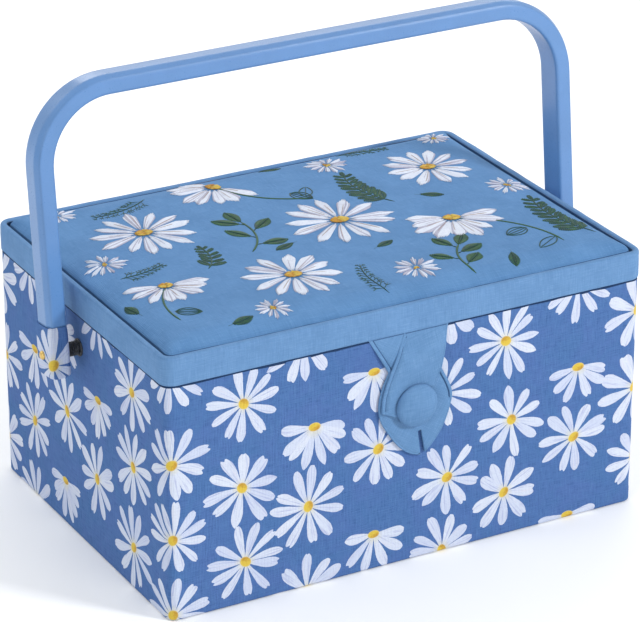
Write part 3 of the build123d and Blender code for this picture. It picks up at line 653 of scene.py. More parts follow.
# ---------------------------------------------------------------- lid rim cloth
rim_path = Rounded(LID_X, LID_Y, LID_R)
rim_us = rim_path.stations(4.0, 12)
RIM_PROFILE = [
    (3.46, 130.4), (3.46, 128.0), (3.44, 125.0), (3.38, 123.7), (3.1, 123.05), (2.5, 122.9), (1.3, 122.9), (0.82, 122.85), (0.42, 122.9), (0.10, 123.35), (0.0, 124.2),
    (0.0, 126.0), (0.0, 128.5), (0.0, 131.0), (0.0, 133.5), (0.0, 135.2), (0.08, 135.9), (0.32, 136.5), (0.75, 136.88),
    (1.35, 137.02), (2.1, 137.0), (2.75, 136.86), (3.15, 136.55), (3.38, 136.1), (3.46, 135.4), (3.46, 134.4), (3.46, 133.5),
]


def smoothstep(x, a, b):
    t = min(1.0, max(0.0, (x - a) / (b - a)))
    return t * t * (3 - 2 * t)


def rim_wobble(u, v, px, py, d, z):
    p = Vector((px * .06, py * .06, z * .09))
    soft = noise.noise(p) * 0.22 + noise.noise(p * 3.1) * 0.08
    edge = noise.noise(Vector((px * .11, py * .11, 3.3))) * 0.14
    if d > 2.4:
        return soft * 0.3, edge * 0.5
    if z < 124 and d < 1.0:  # the fold hangs a little over the body, except at the hinge
        return soft * .3 - 0.05, (edge * 0.3 - .42 * min(1.0, (124.0 - z) / 1.1)) * (1 - smoothstep(py, 70, 88)) + edge * .1
    return soft - 0.05, (edge if z > 136 else edge * 0.4 if z < 124 else 0.0)


rim = ring_sweep("lid_rim_cloth", rim_path, RIM_PROFILE, rim_us, [M_RIM, M_GROOVE_SHADE], rim_wobble)
# Painted shade: the rim's inner face down in the groove takes the darker groove cloth.
_groove_shaded = [min(RIM_PROFILE[k][0], RIM_PROFILE[k + 1][0]) > 3.3 and max(RIM_PROFILE[k][1], RIM_PROFILE[k + 1][1]) < 136.2
           for k in range(len(RIM_PROFILE) - 1)]
rim.data.polygons.foreach_set("material_index", np.repeat(np.array(_groove_shaded, np.int32), len(rim_us)))
rim.data.update()
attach(rim, "lid")
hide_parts("lid_rim_cover")

# ---------------------------------------------------------------- padded top panel
PX, PY, PR = LID_X - 4.05, LID_Y - 4.05, 4.2


def corner_fit(x, y, hx, hy, r):
    """Moves a point of the square corner on to the rounded one."""
    ax, ay = abs(x), abs(y)
    cx, cy = hx - r, hy - r
    if ax > cx and ay > cy:
        dx, dy = ax - cx, ay - cy
        far = max(dx, dy)
        ln = math.hypot(dx, dy)
        if ln > 1e-9:
            k = far / ln
            ax, ay = cx + dx * k, cy + dy * k
    return math.copysign(ax, x), math.copysign(ay, y)


def edge_distance(x, y, hx, hy, r):
    qx, qy = abs(x) - (hx - r), abs(y) - (hy - r)
    return -(math.hypot(max(qx, 0), max(qy, 0)) + min(max(qx, qy), 0) - r)


def edge_steps(half, fine, step):
    """Coordinates from -half to half, close together at both edges."""
    out, x = [], 0.0
    for f in fine:
        x += f
        out.append(x)
    inner = half - out[-1]
    k = max(2, round(2 * inner / step))
    mid = [-inner + 2 * inner * i / k for i in range(k + 1)]
    left = [-half] + [-half + v for v in out[:-1]]
    return left + mid + [-v for v in reversed(left)]


def build_top():
    fine = [.25, .3, .5, .8, 1.1, 1.5, 2.0]
    xs, ys = edge_steps(PX, fine, 4.2), edge_steps(PY, fine, 4.2)
    nx, ny = len(xs), len(ys)
    verts, flat, pinned = [], [], []
    for j, y in enumerate(ys):
        for i, x in enumerate(xs):
            fx, fy = corner_fit(x, y, PX, PY, PR)
            d = max(0.0, edge_distance(fx, fy, PX, PY, PR))
            wav = noise.noise(Vector((fx * .035, fy * .035, 5.0))) * .25
            rise = 2.1 * (1 - math.exp(-d / .3)) + 3.75 * (1 - math.exp(-(d / 2.3) ** .95)) + .9 * (1 - math.exp(-d / 18.0))
            z = 133.6 + rise + wav * min(1.0, d / 8.0)
            pull = noise.noise(Vector((fx * .06, fy * .06, 9.0))) * .28 * math.exp(-d / 2.0)
            verts.append((fx * (1 + pull / PX), fy * (1 + pull / PY), z))
            flat.append((x, y))
            pinned.append(i in (0, nx - 1) or j in (0, ny - 1))
    faces = [(j * nx + i, j * nx + i + 1, (j + 1) * nx + i + 1, (j + 1) * nx + i) for j in range(ny - 1) for i in range(nx - 1)]
    o = make("lid_top_padded_cloth", verts, faces, [M_TOP, M_GROOVE_SHADE])
    return o, np.array(verts), np.array(flat), pinned, (nx, ny)


def inflate(o, rest, held, frames, pressure, cap, shrink=-.02, bend=.3, stiff=10):
    """Fills a sewn shape by cloth simulation and keeps the result in the mesh."""
    group = o.vertex_groups.new(name="held")
    group.add([i for i, p in enumerate(held) if p], 1.0, "REPLACE")
    cl = o.modifiers.new("Cloth", "CLOTH")
    s = cl.settings
    s.quality = 6
    s.mass = 0.2
    s.tension_stiffness = s.compression_stiffness = stiff
    s.shear_stiffness = stiff / 2
    s.bending_stiffness = bend
    s.use_pressure = True
    s.uniform_pressure_force = pressure
    s.vertex_group_mass = "held"
    s.pin_stiffness = 1.0
    s.shrink_min = shrink
    s.effector_weights.gravity = 0
    cl.collision_settings.use_collision = False
    cl.collision_settings.use_self_collision = False
    for f in range(1, frames + 1):
        bpy.context.scene.frame_set(f)
    ev = o.evaluated_get(bpy.context.evaluated_depsgraph_get())
    got = np.zeros(len(rest) * 3)
    ev.to_mesh().vertices.foreach_get("co", got)
    ev.to_mesh_clear()
    o.modifiers.clear()
    o.vertex_groups.clear()
    move = got.reshape(-1, 3) / MM - rest
    far = np.linalg.norm(move, axis=1, keepdims=True)
    move *= np.minimum(1.0, cap / np.maximum(far, 1e-9))
    bpy.context.scene.frame_set(1)
    o.data.vertices.foreach_set("co", ((rest + move) * MM).astype(np.float32).ravel())
    o.data.update()
    return rest + move


def close_below(o, rest, shape, z):
    """Closes a grid shell with a flat underside that shares its border, kept sharp there."""
    nx, ny = shape
    verts = [tuple(p) for p in rest]
    index = {}
    for j in range(ny):
        for i in range(nx):
            if i in (0, nx - 1) or j in (0, ny - 1):
                index[(i, j)] = j * nx + i
            else:
                index[(i, j)] = len(verts)
                verts.append((rest[j * nx + i][0], rest[j * nx + i][1], z))
    faces = [tuple(p.vertices) for p in o.data.polygons]
    for j in range(ny - 1):
        for i in range(nx - 1):
            faces.append((index[(i, j)], index[(i, j + 1)], index[(i + 1, j + 1)], index[(i + 1, j)]))
    mats = list(o.data.materials)
    o.data.clear_geometry()
    o.data.from_pydata([(v[0] * MM, v[1] * MM, v[2] * MM) for v in verts], [], faces)
    o.data.polygons.foreach_set("use_smooth", np.full(len(o.data.polygons), True))
    border = {index[(i, j)] for i in range(nx) for j in range(ny) if i in (0, nx - 1) or j in (0, ny - 1)}
    crease = o.data.attributes.new("crease_edge", "FLOAT", "EDGE")
    crease.data.foreach_set("value", np.array([1.0 if e.vertices[0] in border and e.vertices[1] in border else 0.0 for e in o.data.edges], np.float32))
    o.data.update()


top, top_rest, top_flat, top_pinned, (tnx, tny) = build_top()
top_rest = inflate(top, top_rest, top_pinned, 16, 1.6, 1.1, shrink=-.006, bend=.4, stiff=12)
close_below(top, top_rest, (tnx, tny), 133.5)
for _j in range(tny - 1):  # painted shade: the top cloth's outer rows, down in the groove under the rim, take the darker groove cloth
    for _i in range(tnx - 1):
        if min(_i, tnx - 2 - _i, _j, tny - 2 - _j) < 2:
            top.data.polygons[_j * (tnx - 1) + _i].material_index = 1
top_flat = np.concatenate([top_flat, top_flat[[j * tnx + i for j in range(1, tny - 1) for i in range(1, tnx - 1)]]])
set_uv(top, "cloth", top_flat)
sub = top.modifiers.new("Soft", "SUBSURF")
sub.levels = sub.render_levels = 1
sub.boundary_smooth = "PRESERVE_CORNERS"
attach(top, "lid")
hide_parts("lid_top_panel", "lid_padding")
_dg = bpy.context.evaluated_depsgraph_get()
_dg.update()
top_tree = BVHTree.FromObject(top, _dg)


def on_top(x, y):
    hit = top_tree.ray_cast(Vector((x * MM, y * MM, .2)), Vector((0, 0, -1)))
    if hit[0] is None:
        return 139.0, Vector((0, 0, 1))
    return hit[0].z / MM, hit[1]

# ================================================================ materials of the CAD pieces
def object_mm(nt, sx=1.0, sy=1.0, sz=1.0):
    t = nt.nodes.new("ShaderNodeTexCoord")
    return scaled(nt, t.outputs["Object"], 1000.0 * sx, 1000.0 * sy, 1000.0 * sz)


def hard(name, colour, rough, spec=.5, metallic=0.0, coat=0.0, coat_rough=.2, vary=.06, grain=1.0, bump=.02, brushed=None, soft=None):
    m, nt, p = shader(name, rough=rough, spec=spec, metallic=metallic, coat=coat)
    p.inputs["Coat Roughness"].default_value = coat_rough
    mm = object_mm(nt)
    n = noise_of(nt, mm, .06 * grain, 4.0, .6)
    f = noise_of(nt, scaled(nt, mm, *(brushed or (1.0, 1.0, 1.0))), 1.4 * grain, 3.0, .6)
    dark = tuple(c * (1 - vary) for c in colour)
    lightc = tuple(min(1.0, c * (1 + vary)) for c in colour)
    c = mix(nt, spread(nt, n, .35, .65), dark, lightc)
    nt.links.new(c, p.inputs["Base Color"])
    nt.links.new(spread(nt, f, .3, .7, rough * .88, min(1.0, rough * 1.16)), p.inputs["Roughness"])
    b = node(nt, "ShaderNodeBump", Strength=1.0, Distance=bump * MM, Height=maths(nt, "ADD", maths(nt, "MULTIPLY", n, 3.0), f))
    if soft:
        bevel = nt.nodes.new("ShaderNodeBevel")
        bevel.samples = 6
        bevel.inputs["Radius"].default_value = soft * MM
        nt.links.new(bevel.outputs[0], b.inputs["Normal"])
    nt.links.new(b.outputs[0], p.inputs["Normal"])
    return m


def ledge_cloth(name):
    m, nt, p = shader(name, rough=.88, spec=.2, sheen=.1)
    t = nt.nodes.new("ShaderNodeTexCoord")
    sep = nt.nodes.new("ShaderNodeSeparateXYZ")
    nt.links.new(t.outputs["Object"], sep.inputs[0])
    comb = nt.nodes.new("ShaderNodeCombineXYZ")
    nt.links.new(maths(nt, "MULTIPLY", sep.outputs[1], 1000.0), comb.inputs[0])
    nt.links.new(maths(nt, "MULTIPLY", maths(nt, "ADD", sep.outputs[0], sep.outputs[2]), 1000.0), comb.inputs[1])
    mm = comb.outputs[0]
    h = weave(nt, mm, .7)
    s_, w, f = slubs(nt, mm)
    c = mix(nt, maths(nt, "MULTIPLY", spread(nt, s_, .52, .68), .8), LINING_MID, LINING_LIGHT)
    c = mix(nt, maths(nt, "MULTIPLY", spread(nt, s_, .48, .34), .8), c, LINING_DARK)
    # Painted shade: the low hollows of the weave are darkened.
    c = mix(nt, maths(nt, "MULTIPLY", spread(nt, h, .55, .0), .5), c, LINING_DARK)
    nt.links.new(c, p.inputs["Base Color"])
    cloth_bump(nt, p, ((h, 1.0), (s_, 1.6)), .16)
    return m


def nylon(name):
    """Moulded black plastic with a coarse knurl."""
    m, nt, p = shader(name, rough=.5, spec=.4)
    mm = object_mm(nt)
    cells = node(nt, "ShaderNodeTexVoronoi", Vector=mm, Scale=.75)
    n = noise_of(nt, mm, .9, 3.0, .6)
    c = mix(nt, spread(nt, n, .35, .7), (.012, .013, .016), (.075, .078, .088))
    nt.links.new(c, p.inputs["Base Color"])
    nt.links.new(spread(nt, n, .3, .7, .36, .66), p.inputs["Roughness"])
    b = node(nt, "ShaderNodeBump", Strength=1.0, Distance=.5 * MM, Height=cells.outputs["Distance"])
    nt.links.new(b.outputs[0], p.inputs["Normal"])
    return m


def paint(material, *names):
    for n in names:
        o = nodes[n]
        if not len(o.material_slots):
            o.data.materials.append(material)
        for slot_ in o.material_slots:
            slot_.material = material


LINING_DARK, LINING_MID, LINING_LIGHT = (0.24, 0.37, 0.60), (0.40, 0.54, 0.78), (0.50, 0.63, 0.84)
M_HANDLE = hard("handle_blue_plastic", HANDLE_BLUE, .30, spec=.5, coat=.15, coat_rough=.14, vary=.035, bump=.012, soft=2.2)
M_TRAY = hard("tray_plastic_pale", (.62, .72, .86), .30, spec=.5, coat=.1, vary=.03, bump=.010)
M_STEEL = hard("plated_steel", (.56, .57, .59), .32, metallic=1.0, vary=.08, grain=2.0, bump=.012, brushed=(.3, 1.0, 1.0))
M_BRASS = hard("satin_brass", (.72, .50, .17), .34, metallic=1.0, vary=.12, grain=2.5, bump=.012)
M_BOARD = hard("grey_board", (.36, .33, .28), .9, spec=.15, vary=.18, grain=2.0, bump=.10)
M_FOAM = hard("foam_cells", (.72, .70, .64), .95, spec=.1, vary=.10, grain=3.0, bump=.25)
M_NYLON = nylon("black_nylon_knurled")
M_LEDGE = ledge_cloth("ledge_cloth")
paint(M_HANDLE, "handle_bail")
paint(M_TRAY, "tray", *[n for n in nodes if n.startswith("tray_divider")])
paint(M_LEDGE, "tray_ledge_left", "tray_ledge_right")
paint(M_STEEL, "button_shank", "button_backing", "pivot_plates", "pivot_pins", "retaining_washers", "foot_tongue_left", "foot_tongue_right")
paint(M_BRASS, "plate_rivets", "sleeve_studs")
paint(M_NYLON, "pivot_spacers", "pivot_bushes")


def small_bushes():
    """The nylon bushes in the end walls, with a narrow rounded flange against the fabric."""
    co = np.array([v.co for v in nodes["pivot_bushes"].data.vertices]) / MM
    x0, x1, zc = np.abs(co[:, 0]).min(), np.abs(co[:, 0]).max(), (co[:, 2].min() + co[:, 2].max()) / 2
    prof = [(x0, 2.56), (x0, 3.9), (x0 + .1, 4.0), (x1 - .9, 4.0), (x1 - .86, 4.3), (x1 - .74, 4.46), (x1 - .5, 4.5),
            (x1 - .25, 4.42), (x1 - .08, 4.2), (x1, 3.9), (x1, 2.62), (x1 - .08, 2.54)]
    verts, faces, segs = [], [], 48
    for sx in (-1, 1):
        base = len(verts)
        for x, r in prof:
            for k in range(segs):
                a = 2 * math.pi * k / segs
                verts.append((sx * x, r * math.cos(a), zc + r * math.sin(a)))
        for j in range(len(prof)):
            m = (j + 1) % len(prof)
            for k in range(segs):
                n = (k + 1) % segs
                q = (base + j * segs + k, base + j * segs + n, base + m * segs + n, base + m * segs + k)
                faces.append(q if sx < 0 else q[::-1])
    o = make("nylon_bushes_flanged", verts, faces, [M_NYLON])
    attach(o, "box")
    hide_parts("pivot_bushes")


small_bushes()
paint(M_BOARD, "base_board", "lid_board", *[n for n in nodes if n.endswith("wall_board") or n.endswith("rim_board")])

# ================================================================ closure
def outline_curve(points, sharp, step=0.9):
    """A closed outline through the points: smooth at most of them, a corner at those in sharp."""
    n = len(points)
    pts = [Vector(p) for p in points]
    tang_in, tang_out = [], []
    for i in range(n):
        a, b, c = pts[i - 1], pts[i], pts[(i + 1) % n]
        if i in sharp:
            tang_in.append((b - a))
            tang_out.append((c - b))
        else:
            t = (c - a) / 2
            tang_in.append(t.normalized() * (b - a).length)
            tang_out.append(t.normalized() * (c - b).length)
    out = []
    for i in range(n):
        a, b = pts[i], pts[(i + 1) % n]
        ta, tb = tang_out[i], tang_in[(i + 1) % n]
        k = max(1, round((b - a).length / step))
        for j in range(k):
            t = j / k
            h00, h10 = 2 * t ** 3 - 3 * t ** 2 + 1, t ** 3 - 2 * t ** 2 + t
            h01, h11 = -2 * t ** 3 + 3 * t ** 2, t ** 3 - t ** 2
            out.append(a * h00 + ta * h10 + b * h01 + tb * h11)
    if area2([(p.x, p.y) for p in out]) < 0:
        out.reverse()
    return out


def inset(ring, d):
    """The ring moved inwards by d, a number or one for each point."""
    out, n = [], len(ring)
    ds = d if isinstance(d, list) else [d] * n
    for i in range(n):
        a, b, c = ring[i - 1], ring[i], ring[(i + 1) % n]
        t0, t1 = (b - a).normalized(), (c - b).normalized()
        n0, n1 = Vector((-t0.y, t0.x)), Vector((-t1.y, t1.x))
        m = n0 + n1
        if m.length < 1e-4:
            m = n0.copy()
        m.normalize()
        k = 1.0 / max(0.55, m.dot(n0))
        out.append(b + m * ds[i] * k)
    return out


def cloth_slab(name, outline, hole, back_at, thick_at, material, turn, hem_at, crown=0.3, hem=1.85, grid=2.6, seed=0):
    """A flat folded strap in the XZ plane: rounded edges, a rolled hem with a seam where hem_at is 1, and a soft face.
    The seam and the top edge under the rim take a darker cloth, partly painted shade.
    """
    rings = [(0.35, 0.0), (0.0, 0.22), (0.0, 0.60), (0.16, 0.86), (0.5, 0.99), (0.95, 1.04), (hem - .22, 0.99), (hem + .02, 0.60), (hem + .34, 0.55), (hem + .70, 0.93)]
    verts, faces, flat = [], [], []

    def put(p, q, lift=0.0):
        y = -(back_at(p.x, p.y) + thick_at(p.x, p.y) * q + lift)
        verts.append((p.x, y, p.y))
        flat.append((math.cos(turn) * p.x + math.sin(turn) * p.y, -math.sin(turn) * p.x + math.cos(turn) * p.y))
        return len(verts) - 1

    n = len(outline)
    idx, last, kinds = [], None, []
    hems = [hem_at(p.x, p.y) for p in outline]
    z_top = max(p.y for p in outline) - .02
    for j, (d, q) in enumerate(rings):
        near = .5 + .1 * (j - 4)
        r = inset(outline, d if j < 5 else [near + (d - near) * smoothstep(h, .1, .85) for h in hems])
        ids = [put(p, q if j < 5 else .99 + (q - .99) * h) for p, h in zip(r, hems)]
        if last is not None:
            for i in range(n):
                k = (i + 1) % n
                faces.append((last[i], last[k], ids[k], ids[i]))
                # Painted shade: faces along the top edge, under the rim, go dark; the seam grooves go dark for thread
                # and shade together.
                shade = j > 4 and outline[i].y > z_top and outline[k].y > z_top
                kinds.append(1 if shade or (j in (7, 8) and hems[i] > .6 and hems[k] > .6) else 0)
        last, last_ring = ids, r
        idx.append(ids)
    hole_ring = []
    if hole:
        cx, cz, r = hole
        hole_ring = [Vector((cx + r * math.cos(2 * math.pi * i / 48), cz + r * math.sin(2 * math.pi * i / 48))) for i in range(48)]

    def within(x, y, ring):
        odd = False
        for a, b in zip(ring, ring[1:] + ring[:1]):
            if (a.y > y) != (b.y > y) and x < a.x + (b.x - a.x) * (y - a.y) / (b.y - a.y):
                odd = not odd
        return odd

    def fill(ring, ids, q_face, flip, soft):
        nr, nh = len(ring), len(hole_ring)
        pts = [p.copy() for p in ring] + [p.copy() for p in hole_ring]
        edges = [(i, (i + 1) % nr) for i in range(nr)] + [(nr + i, nr + (i + 1) % nh) for i in range(nh)]
        if soft:
            lo_x, hi_x = min(p.x for p in ring), max(p.x for p in ring)
            z, hi_z = min(p.y for p in ring) + grid / 2, max(p.y for p in ring)
            while z < hi_z:
                x = lo_x + grid / 2
                while x < hi_x:
                    if within(x, z, ring) and min((Vector((x, z)) - a).length for a in ring) > .7:
                        pts.append(Vector((x, z)))
                    x += grid
                z += grid
        vo, _e, fo, ov, _oe, _of = delaunay_2d_cdt(pts, edges, [], 0, 1e-6, True)
        new = []
        for i, p in enumerate(vo):
            src = [k for k in ov[i] if k < nr]
            if src:
                new.append(ids[src[0]])
                continue
            d = min((p - a).length for a in ring[::3])
            lift = crown * min(1.0, d / 5.0) + noise.noise(Vector((p.x * .09, p.y * .09, seed + 2.0))) * .12 if soft else 0.0
            new.append(put(p, q_face, lift))
        hole_ids = {k - nr: new[i] for i in range(len(vo)) for k in ov[i] if nr <= k < nr + nh}
        for f in fo:
            cx_, cy_ = sum(vo[i].x for i in f) / len(f), sum(vo[i].y for i in f) / len(f)
            if not within(cx_, cy_, ring) or (hole_ring and within(cx_, cy_, hole_ring)):
                continue
            g = [new[i] for i in f]
            faces.append(g if flip else g[::-1])
        return hole_ids

    front_hole = fill(last_ring, last, 0.97, True, True)
    back_hole = fill(inset(outline, rings[0][0]), idx[0], 0.0, False, False)
    if hole_ring:
        m = len(hole_ring)
        for i in range(m):
            k = (i + 1) % m
            if i in front_hole and k in front_hole and i in back_hole and k in back_hole:
                faces.append((front_hole[i], front_hole[k], back_hole[k], back_hole[i]))
    o = make(name, verts, faces, [material, M_SEAM_AND_SHADE], kinds + [0] * (len(faces) - len(kinds)))
    set_uv(o, "cloth", flat)
    fix_normals(o)
    return o


def fix_normals(o):
    import bmesh
    bm = bmesh.new()
    bm.from_mesh(o.data)
    bmesh.ops.recalc_face_normals(bm, faces=bm.faces)
    bm.to_mesh(o.data)
    bm.free()
    o.data.update()


BUTTON_X = 1.2
UNDER = [
    (-23.8, 122.95), (-12.9, 103.8), (-16.3, 96.6), (-18.3, 88.0), (-17.4, 80.0), (-13.0, 71.7), (-7.0, 63.4), (-0.6, 58.3),
    (5.0, 56.5), (3.5, 69.6), (5.1, 69.8), (7.4, 57.3), (12.0, 61.6), (17.2, 68.8), (21.0, 78.5), (22.1, 87.0), (15.6, 101.5), (-1.5, 122.95),
]
OVER = [(-4.1, 122.95), (-12.9, 103.5), (-16.6, 92.5), (-17.5, 84.0), (-9.6, 80.4)]
OVER += [(BUTTON_X + 10.2 * math.cos(rad(a)), BUTTON_Z + 10.2 * math.sin(rad(a))) for a in (203, 185, 165, 145, 125, 105, 85, 65, 48)]
OVER += [(11.4, 92.2), (15.6, 101.5), (20.0, 122.95)]
OVER_SHARP = {0, 3, 4, 13, 14, len(OVER) - 2, len(OVER) - 1}


def under_hem(x, z):
    if z < 71 and 3.0 < x < 8.0:
        return 0.0
    if x < 0:
        return max(.2, smoothstep(z, 98, 101)) * (1 - smoothstep(z, 121.2, 122.6))
    return (.2 + .8 * smoothstep(z, 81, 86) * smoothstep(x, 12, 14)) * (1 - smoothstep(z, 102, 104))


def over_hem(x, z):
    if z > 122.6:
        return 0.0
    if x < -6 and z > 84.2 and not math.hypot(x - BUTTON_X, z - BUTTON_Z) < 10.6:
        return 1 - smoothstep(z, 121.4, 122.6)
    if x < -3.5 and z > 96:
        return 1 - smoothstep(z, 121.4, 122.6)
    return .25 if x > 10 else 0.0


under = cloth_slab(
    "closure_loop_under", outline_curve(UNDER, {0, 1, 8, 9, 10, 11, 16, 17}), (BUTTON_X, BUTTON_Z, 9.2),
    lambda x, z: 93.06 + .34 * (1 - smoothstep(z, 110, 121.5)), lambda x, z: .28 + .92 * (1 - smoothstep(z, 111, 121.5)),
    M_STRAP, rad(-32), under_hem, seed=1,
)
over = cloth_slab(
    "closure_loop_over", outline_curve(OVER, OVER_SHARP), None,
    lambda x, z: 93.30 + 1.45 * (1 - smoothstep(z, 108, 121.5)) + .35 * (1 - smoothstep(z, 81, 88)) * (1 - smoothstep(x, -9, -4)), lambda x, z: .26 + .94 * (1 - smoothstep(z, 111, 121.5)),
    M_STRAP, rad(11), over_hem, seed=9,
)
for o, node_name, cut in ((under, "closure_strap_under", (.0465, .066)), (over, "closure_strap_over", (.034, .0425))):
    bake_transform(o)
    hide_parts(node_name)
UNDER_AREA = abs(area2([(p.x, p.y) for p in outline_curve(UNDER, {0, 1, 8, 9, 10, 11, 16, 17})])) / 2 - math.pi * 9.2 ** 2
OVER_AREA = abs(area2([(p.x, p.y) for p in outline_curve(OVER, OVER_SHARP)])) / 2

# ---------------------------------------------------------------- covered button
prof = [(8.5, 94.1), (8.9, 94.9), (9.7, 95.3), (10.5, 95.65), (11.1, 96.1), (11.4, 96.7), (11.3, 97.35), (10.8, 98.05),
        (9.9, 98.7), (8.5, 99.3), (6.5, 99.8), (4.2, 100.1), (1.8, 100.22)]
reach = [0.0] * len(prof)
for j in range(len(prof) - 1, -1, -1):
    r0, y0 = prof[j + 1] if j + 1 < len(prof) else (0.0, 100.26)
    reach[j] = (reach[j + 1] if j + 1 < len(prof) else 0.0) + math.hypot(prof[j][0] - r0, prof[j][1] - y0)
prof = [(r * .97, y) for r, y in prof]
bverts, bfaces, bflat = [], [], []
NB = 72
for j, (r, y) in enumerate(prof):
    for i in range(NB):
        a = 2 * math.pi * i / NB
        pleat = noise.noise(Vector((math.cos(a) * 6.5, math.sin(a) * 6.5, 4.0)))
        rr = r * (1 + (.016 * pleat if j < 5 else .006 * pleat if j < 7 else 0.0))
        bverts.append((BUTTON_X + rr * math.cos(a), -y, BUTTON_Z + rr * math.sin(a)))
        bflat.append((reach[j] * math.cos(a), reach[j] * math.sin(a)))
bverts.append((BUTTON_X, -100.26, BUTTON_Z))
bflat.append((0, 0))
for j in range(len(prof) - 1):
    for i in range(NB):
        k = (i + 1) % NB
        bfaces.append((j * NB + i, (j + 1) * NB + i, (j + 1) * NB + k, j * NB + k))
for i in range(NB):
    bfaces.append(((len(prof) - 1) * NB + i, len(bverts) - 1, (len(prof) - 1) * NB + (i + 1) % NB))
button = make("covered_button_cloth", bverts, bfaces, [M_STRAP])
set_uv(button, "cloth", bflat)
fix_normals(button)
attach(button, "box")
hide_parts("button_head")


# ---------------------------------------------------------------- printed sleeves on the handle's feet
def sleeve(side):
    sx = -1 if side == "left" else 1
    path = Rounded(5.5, 8.2, 2.6)
    h0, h1 = -11.8, 17.0

    def point(u, v):
        (px, pb), _n = path.at(u % path.length)
        h = min(v, 14.93)
        lip = max(0.0, v - 14.93)
        dh = h - h0
        kb = 1.0 if dh >= 3.4 else (8.2 - 3.4 + math.sqrt(max(0.0, 3.4 ** 2 - (3.4 - dh) ** 2))) / 8.2
        kt = 1.0 if dh >= 2.6 else .18 + .82 * math.sqrt(max(0.0, 1 - ((2.6 - dh) / 2.6) ** 2))
        top = smoothstep(h, 10.5, 14.6)
        kt *= (1 - .07 * top) * (1 - lip / 5.5)
        kb *= (1 - .02 * top) * (1 - lip / 8.2)
        soft = noise.noise(Vector((px * .22, pb * .22, h * .16 + sx * 5))) * .22
        x = sx * 143.4 + (px + math.copysign(soft, px)) * kt
        return Vector((x, 0, PIVOT_Z)) - FRONT * (pb * kb) + UP * h

    def place(u, v):
        p = point(u, v)
        e = .12
        vv = min(v, h1 - e)
        du = point(u + e, v) - point(u - e, v)
        dv = point(u, vv + e) - point(u, max(h0, vv - e))
        n = du.cross(dv)
        if n.length < 1e-9:
            n = -UP
        n.normalize()
        return tuple(p), tuple(n)

    lines = []
    for i, (kind, length, *_r) in enumerate(path.parts):
        k = 6 if kind == "arc" else max(1, round(length / 2.2))
        lines += [path.starts[i] + length * j / k for j in range(k)]
    vl = [h0 + .3, h0 + .7, h0 + 1.2, h0 + 1.8, h0 + 2.5, h0 + 3.4] + [float(x) for x in np.arange(-6.5, 14.6, 1.9)] + [14.6, 14.93, 15.3, 15.9]
    outer_u = (path.starts[2] + path.starts[3]) / 2 if sx < 0 else (path.starts[6] + path.starts[7]) / 2
    seedr = random.Random(77 if sx < 0 else 78)
    f1 = Flower(seedr, outer_u + (8.5 if sx < 0 else -8.5), -3.5, 20.4, "open")
    f2 = Flower(seedr, outer_u + (-19.5 if sx < 0 else 19.5), 11.5, 11.0, "open")
    f3 = Flower(seedr, outer_u + (-17 if sx < 0 else 17), -15.0, 13.0, "open")
    extra = []
    for f in (f1, f2, f3):
        for shift in (-path.length, path.length):
            g = Flower.__new__(Flower)
            g.__dict__.update(f.__dict__)
            g.u = f.u + shift
            extra.append(g)
    o, _f = printed("foot_sleeve_cloth_" + side, path.length, h0, h1, lines, vl, [f1, f2, f3] + extra, place)
    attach(o, "handle")
    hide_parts("foot_sleeve_" + side)
    return o


sleeve_left = sleeve("left")
sleeve_right = sleeve("right")

# ================================================================ embroidery
class Threads:
    """Raised stitches of one colour, each a short tapered strand on the top cloth."""

    def __init__(self):
        self.v, self.f, self.uv = [], [], []

    def strand(self, pts, width, height, lift=0.0, taper=.25):
        n = len(pts)
        base = len(self.v)
        run = 0.0
        ground = [on_top(x, y) for x, y in pts]
        p3 = [Vector((x, y, g[0] + lift)) for (x, y), g in zip(pts, ground)]
        for i in range(n):
            a, b = p3[max(0, i - 1)], p3[min(n - 1, i + 1)]
            t = (b - a)
            t = t.normalized() if t.length > 1e-9 else Vector((1, 0, 0))
            nn = ground[i][1]
            s = t.cross(nn)
            s.normalize()
            if i:
                run += (p3[i] - p3[i - 1]).length
            q = i / (n - 1)
            end = min(1.0, (q if q < .5 else 1 - q) / taper) if taper else 1.0
            end = max(.12, math.sqrt(max(0.0, 1 - (1 - end) ** 2)))
            w = (width[i] if isinstance(width, list) else width) * (.35 + .65 * end) / 2
            h = height * end
            for k, (cs, ch) in enumerate(((-1, 0), (-.78, .62), (0, 1.0), (.78, .62), (1, 0), (0, -.5))):
                p = p3[i] + s * (cs * w) + nn * (ch * h)
                self.v.append(tuple(p))
                self.uv.append((run, cs * w))
        for i in range(n - 1):
            for k in range(6):
                m = (k + 1) % 6
                self.f.append((base + i * 6 + k, base + i * 6 + m, base + (i + 1) * 6 + m, base + (i + 1) * 6 + k))
        self.f.append(tuple(base + k for k in range(5, -1, -1)))
        self.f.append(tuple(base + (n - 1) * 6 + k for k in range(6)))

    def knot(self, x, y, r):
        z, nn = on_top(x, y)
        base = len(self.v)
        rows, segs = 4, 8
        for j in range(rows):
            a = (j / (rows - .5)) * math.pi / 2
            for i in range(segs):
                b = 2 * math.pi * (i + .5 * (j % 2)) / segs
                self.v.append((x + r * math.cos(a) * math.cos(b), y + r * math.cos(a) * math.sin(b), z - .1 + r * .85 * math.sin(a)))
                self.uv.append((b, a))
        self.v.append((x, y, z - .1 + r * .85))
        self.uv.append((0, 0))
        for j in range(rows - 1):
            for i in range(segs):
                k = (i + 1) % segs
                self.f.append((base + j * segs + i, base + j * segs + k, base + (j + 1) * segs + k, base + (j + 1) * segs + i))
        for i in range(segs):
            self.f.append((base + (rows - 1) * segs + i, base + (rows - 1) * segs + (i + 1) % segs, base + rows * segs))
        self.f.append(tuple(base + i for i in range(segs - 1, -1, -1)))

    def build(self, name, material):
        o = make(name, self.v, self.f, [material])
        set_uv(o, "cloth", np.asarray(self.uv))
        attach(o, "lid")
        return o


